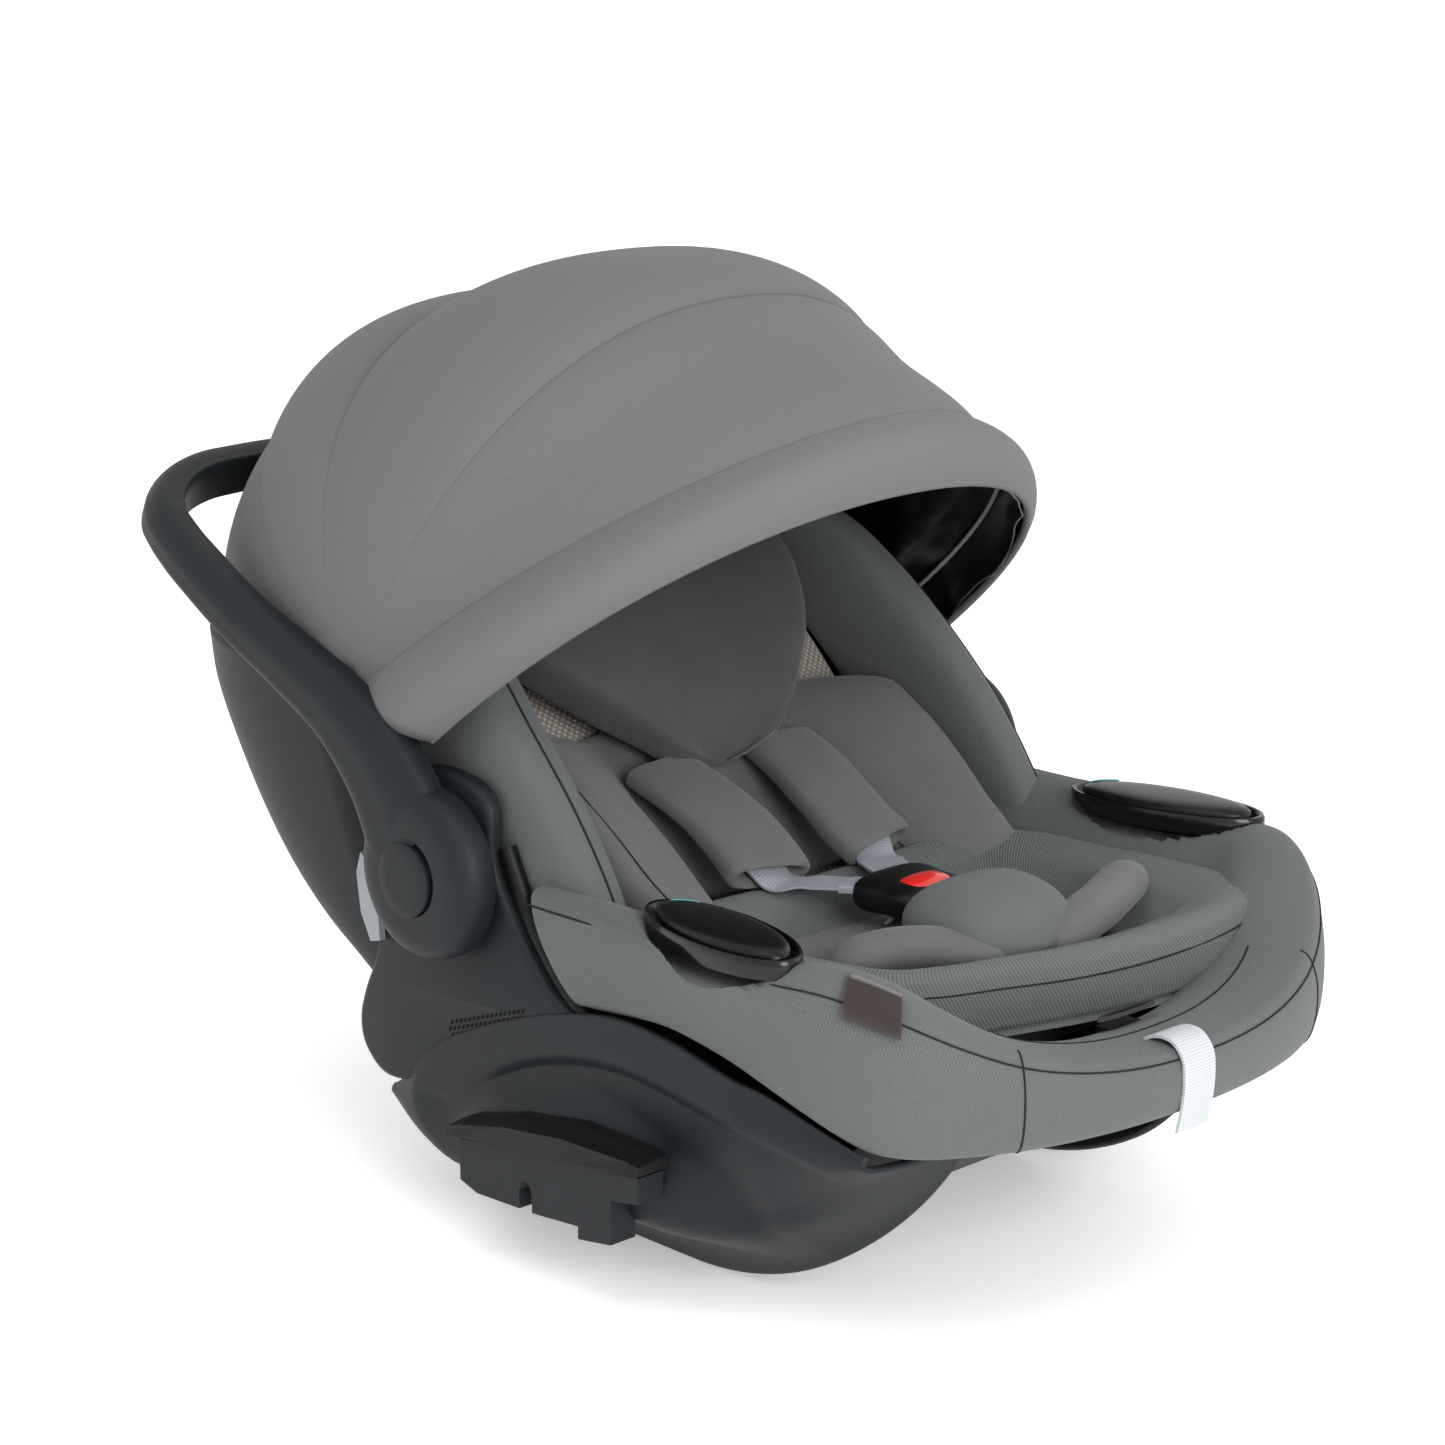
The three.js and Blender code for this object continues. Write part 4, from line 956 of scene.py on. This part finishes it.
def turned(name, profile, y, z, side, material, sides=64):
    """A piece turned round an axis along X; profile gives (|x|, radius)."""
    turn = np.arange(sides) * 2 * math.pi / sides
    grid = [np.stack([np.full(sides, side * x), y + r * np.cos(turn), z + r * np.sin(turn)], 1)
            for x, r in profile]
    return surface(name, grid, material, loop=True, caps=True, sharp=50)


def build_handle():
    bow = surface("handle_bow", handle_rings(), CHARCOAL, loop=True, caps=True, sharp=60)
    settle(bow, "handle", ["handle_bar"])
    disc_profile = [(198, 44), (198.4, 46.4), (200, 47), (206, 47), (211, 46), (215, 43.2), (217.8, 39),
                    (219.2, 34), (219.8, 28), (220, 21.4), (217, 21.2), (216.6, 5)]
    for name, side in SIDES:
        disc = turned(f"{name}_hub_disc", disc_profile, HUB["y"], HUB["z"], side, CHARCOAL)
        settle(disc, "handle", [f"handle_arm_{name}"])
        cap_profile = [(214, 19.5), (219.4, 20.3), (220.6, 20.2), (221.2, 19.2), (221.4, 12), (221.4, 1)]
        cap = turned(f"{name}_hub_cap", cap_profile, HUB["y"] + 3, HUB["z"] - 2, side, CHARCOAL)
        settle(cap, f"{name}_hub_button", [f"hub_button_{name}"])


# ---------------------------------------------------------------- moulded shell
RUNNER_FRONT, RUNNER_REAR, ROCKER_RADIUS = -88.0, 60.0, 190.0
panel_top = curve([(-258, 116), (-231, 128), (-203, 140), (-175, 146), (-146, 152), (-102, 155), (-62, 148),
                   (-24, 136), (9, 122), (43, 104), (67, 82), (84, 70), (96, 62)])
facet_top = curve([(-262, 92), (-254, 100), (-240, 106), (-196, 119), (-151, 127), (-99, 131), (-63, 126),
                   (-28, 115), (1, 100), (34, 80)])
facet_low = curve([(-262, 90), (-254, 92), (-234, 84), (-208, 67), (-167, 51), (-146, 46), (-74, 36),
                   (34, 30)])


def rocker_bottom(y):
    """Height of the lower edge: flat under the runner, rising at both ends."""
    if y < RUNNER_FRONT:
        return ROCKER_RADIUS - math.sqrt(ROCKER_RADIUS ** 2 - (y - RUNNER_FRONT) ** 2)
    if y > RUNNER_REAR:
        return (y - RUNNER_REAR) ** 2 / 18
    return 0.0


def panel_row(y, side):
    """One upright row of the rocker panel, with its recessed facet and its hood."""
    top, bottom = float(panel_top(y)), rocker_bottom(y) + 3
    half = 190 - max(0, -190 - y) * 0.3 - max(0, y - 60) * 0.35
    across = curve([(0, 0), (0.2, 2), (0.5, -9), (0.76, -32), (0.95, -62), (1, -68)])
    f = np.linspace(0, 1, 90)
    z = lerp(top, bottom, f)
    x = half + across(f)
    lens = smoothstep((facet_top(y) + 3 - z) / 9) * smoothstep((z - facet_low(y)) / 16)
    lens = lens * smoothstep((80 - y) / 110) * smoothstep((y + 258) / 60)
    x = x - 5 * lens
    hood_line = 96 - ((y + 62) / 74) ** 2 * 14
    hood = smoothstep((hood_line + 18 - z) / 34) * smoothstep((z - 30) / 30)
    hood = hood * smoothstep((44 - y) / 62) * smoothstep((y + 190) / 72)
    x = lerp(x, np.maximum(x, 195.0), hood)
    return np.stack([side * x, np.full(90, float(y)), z], 1)


POST_OUTLINE = [(-4, 246), (-6, 214), (-22, 188), (-48, 158), (-70, 142), (-24, 129), (9, 114), (43, 95),
                (68, 78), (90, 76), (106, 88), (110, 104), (105, 122), (94, 146), (88, 176), (90, 208),
                (86, 240), (50, 258), (14, 258)]
POST_EDGE = [(-9, 224), (-25, 194), (-51, 162), (-75, 142)]
POST_PROFILE = [(183, 2), (184, 0), (189.5, 0), (191.8, 1.2), (193, 4)]
POST_VENT = ((30, 117), (-32, 139))
PANEL_VENT = ((-92, 47), (-158, 58))


def plate(name, outline, profile, side, material):
    """A flat moulding with rounded edges; profile gives (|x|, inset from the outline)."""
    ahead, behind = np.roll(outline, -1, 0), np.roll(outline, 1, 0)
    along = ahead - behind
    inward = np.stack([-along[:, 1], along[:, 0]], 1) / np.linalg.norm(along, axis=1)[:, None]
    rings = [np.column_stack([np.full(len(outline), side * x), outline + inward * inset])
             for x, inset in profile]
    return surface(name, rings, material, loop=True, caps=True, sharp=50)


def vent_shade_slivers(corners, slots, side, on_panel):
    """Three rows of short slanted dark slivers between two corners, standing just proud of the skin: painted
    shade where the vent holes are.
    """
    (y0, z0), (y1, z1) = corners
    holes = []
    for k in range(slots):
        for row in (-3.6, 0.0, 3.6):
            share = (k + (0.5 if row else 0.0)) / slots
            y, z = lerp(y0, y1, share), lerp(z0, z1, share) + row
            x = 192.6
            if on_panel:
                skin = panel_row(y, 1)
                x = float(np.interp(-z, -skin[:, 2], skin[:, 0]))
            holes.append([(side * x, y + 0.5, z - 0.9), (side * x, y, z), (side * x, y - 0.5, z + 0.9)])
    return holes


def build_shell():
    for name, side in SIDES:
        rows = [panel_row(y, side) for y in np.linspace(-258, 92, 150)]
        panel = surface(f"{name}_rocker_panel", rows, CHARCOAL, flip=side < 0, sharp=30)
        settle(solidify(panel, 3.5), stands_for=[f"side_panel_{name}"])
        post = plate(f"{name}_hub_post", closed_spline(POST_OUTLINE, 8), POST_PROFILE, side, CHARCOAL)
        settle(post, stands_for=[f"hub_post_{name}"])
        for part, corners, slots in (("post", POST_VENT, 17), ("panel", PANEL_VENT, 19)):
            slivers = vent_shade_slivers(corners, slots, side, part == "panel")
            # The vent slivers are painted shade in the holes.
            settle(tubes(f"{name}_{part}_vent", slivers, 1.0, HOLE_SHADE))
        show_cad(f"adaptor_block_{name}", CHARCOAL, 1.2)
        show_cad(f"adaptor_cap_{name}", LID_BLACK, 3.0)
        show_cad(f"belt_guide_{name}", HOOK_GREY, 1.2)
        show_cad(f"lock_gear_{name}", STEEL)
        show_cad(f"pivot_bolt_{name}", STEEL)
        show_cad(f"canopy_mount_{name}", DARK_TRIM, 1.0)
    for name, side in SIDES:
        edge = [[(side * 184, y, z) for y, z in open_spline(POST_EDGE, 40)]]
        settle(tubes(f"{name}_post_trim", edge, 5, DARK_TRIM, 12))
    show_cad("lower_shell", CHARCOAL, 1.0)
    show_cad("foam_liner", FOAM)
    show_cad("adjuster_button", DARK_TRIM, 1.0)
    build_back_shell()


SHELL_FRONT_EDGE = [(68, 134), (80, 160), (91, 185), (100, 210), (108, 234), (114, 258), (119, 290)]
SHELL_REAR_EDGE = [(126, 132), (171, 149), (207, 171), (239, 201), (268, 238), (286, 266), (294, 292)]


def build_back_shell():
    steps = np.arange(7)
    fine = np.linspace(0, 6, 50)
    columns = (*np.array(SHELL_FRONT_EDGE, float).T, *np.array(SHELL_REAR_EDGE, float).T)
    front_y, front_z, rear_y, rear_z = (curve(list(zip(steps, column)))(fine) for column in columns)
    turn = np.linspace(0, math.pi, 120)
    across = -signed_power(np.cos(turn), 0.5)
    back = np.sin(turn) ** 0.5 / 0.84
    rows = []
    for k, step in enumerate(fine):
        taper = 1 - 0.012 * step * np.sin(turn) ** 0.5
        rows.append(np.stack([187 * across * taper, lerp(front_y[k], rear_y[k], back),
                              lerp(front_z[k], rear_z[k], back)], 1))
    shell = surface("back_shell_skin", rows, CHARCOAL, flip=True)
    settle(solidify(shell, 3.5), stands_for=["back_shell"])


# ---------------------------------------------------------------- label and pull strap
def build_trims():
    pieces = []
    for s in np.linspace(0.125, 0.185, 16):
        x, y = rim_plan(s)
        x1, y1 = rim_plan(s + 0.01)
        length = math.hypot(x1 - x, y1 - y)
        out = np.array([(y1 - y) / length, -(x1 - x) / length, 0])
        top = float(crest_height(y))
        pieces.append([np.array([x, y, 0]) + out * o + np.array([0, 0, top + h])
                       for o, h in ((-2, 0.8), (4, 0.4), (8, -4), (11.4, -10), (12.4, -17))])
    label = solidify(surface("side_tag", pieces, LABEL, flip=True), 1.2)
    settle(label, stands_for=["side_label"])
    route = [(-9, -304, 153.5), (-9, -312, 157), (-9, -322, 156.4), (-9, -329, 149), (-9, -330.6, 137),
             (-9, -329.6, 124), (-9, -326.8, 110)]
    strap = ribbon("pull_strap", route, 12, 1.6, PALE_STRAP)
    settle(strap, stands_for=["adjuster_strap"])


# ---------------------------------------------------------------- stage
CAMERA = {"azimuth": -44.0, "elevation": 14.0, "distance": 1.912, "lens": 84.7}
TARGET = (0.0, (19.8 + CENTRE_Y) * MM, 0.2546)


def add_light(name, kind, energy, size, location, target=(0, 0, 0.2)):
    """A light that faces the target."""
    data = bpy.data.lights.new(name, kind)
    data.energy = energy
    data.size = size
    light = bpy.data.objects.new(name, data)
    light.location = location
    light.rotation_euler = (Vector(target) - Vector(location)).to_track_quat("-Z", "Y").to_euler()
    bpy.context.scene.collection.objects.link(light)


def build_stage():
    world = bpy.data.worlds.new("studio")
    bpy.context.scene.world = world
    world.use_nodes = True
    world.node_tree.nodes["Background"].inputs["Color"].default_value = (1, 1, 1, 1)
    world.node_tree.nodes["Background"].inputs["Strength"].default_value = 1.0
    floor_material = new_material("studio_floor", (0.95, 0.95, 0.95, 1), 0.9, specular=0.0)
    shader = floor_material.node_tree.nodes["Principled BSDF"]
    shader.inputs["Emission Color"].default_value = (1, 1, 1, 1)
    shader.inputs["Emission Strength"].default_value = 0.3
    bpy.ops.mesh.primitive_plane_add(size=40, location=(0, 0, -0.0005))
    floor = bpy.context.object
    floor.name = "studio_floor"
    floor.data.materials.append(floor_material)
    bpy.context.scene.view_settings.view_transform = "Standard"
    add_light("key", "AREA", 10, 1.4, (-1.2, -0.6, 2.3))
    add_light("seat_fill", "AREA", 26, 0.9, (-0.7, -1.9, 0.85), (0, 0.05, 0.3))
    add_light("far_fill", "AREA", 6, 1.6, (1.6, -1.3, 1.4))
    data = bpy.data.cameras.new("photo_camera")
    data.lens = CAMERA["lens"]
    data.sensor_width = 36
    camera = bpy.data.objects.new("photo_camera", data)
    azimuth, elevation = math.radians(CAMERA["azimuth"]), math.radians(CAMERA["elevation"])
    back = Vector((math.sin(azimuth) * math.cos(elevation), -math.cos(azimuth) * math.cos(elevation),
                   math.sin(elevation)))
    camera.location = Vector(TARGET) + back * CAMERA["distance"]
    camera.rotation_euler = (-back).to_track_quat("-Z", "Y").to_euler()
    bpy.context.scene.collection.objects.link(camera)
    bpy.context.scene.camera = camera


build_canopy()
build_covers()
build_levers()
build_wings()
build_backrest()
build_inserts()
build_cushion()
build_harness()
build_handle()
build_shell()
build_trims()
build_stage()
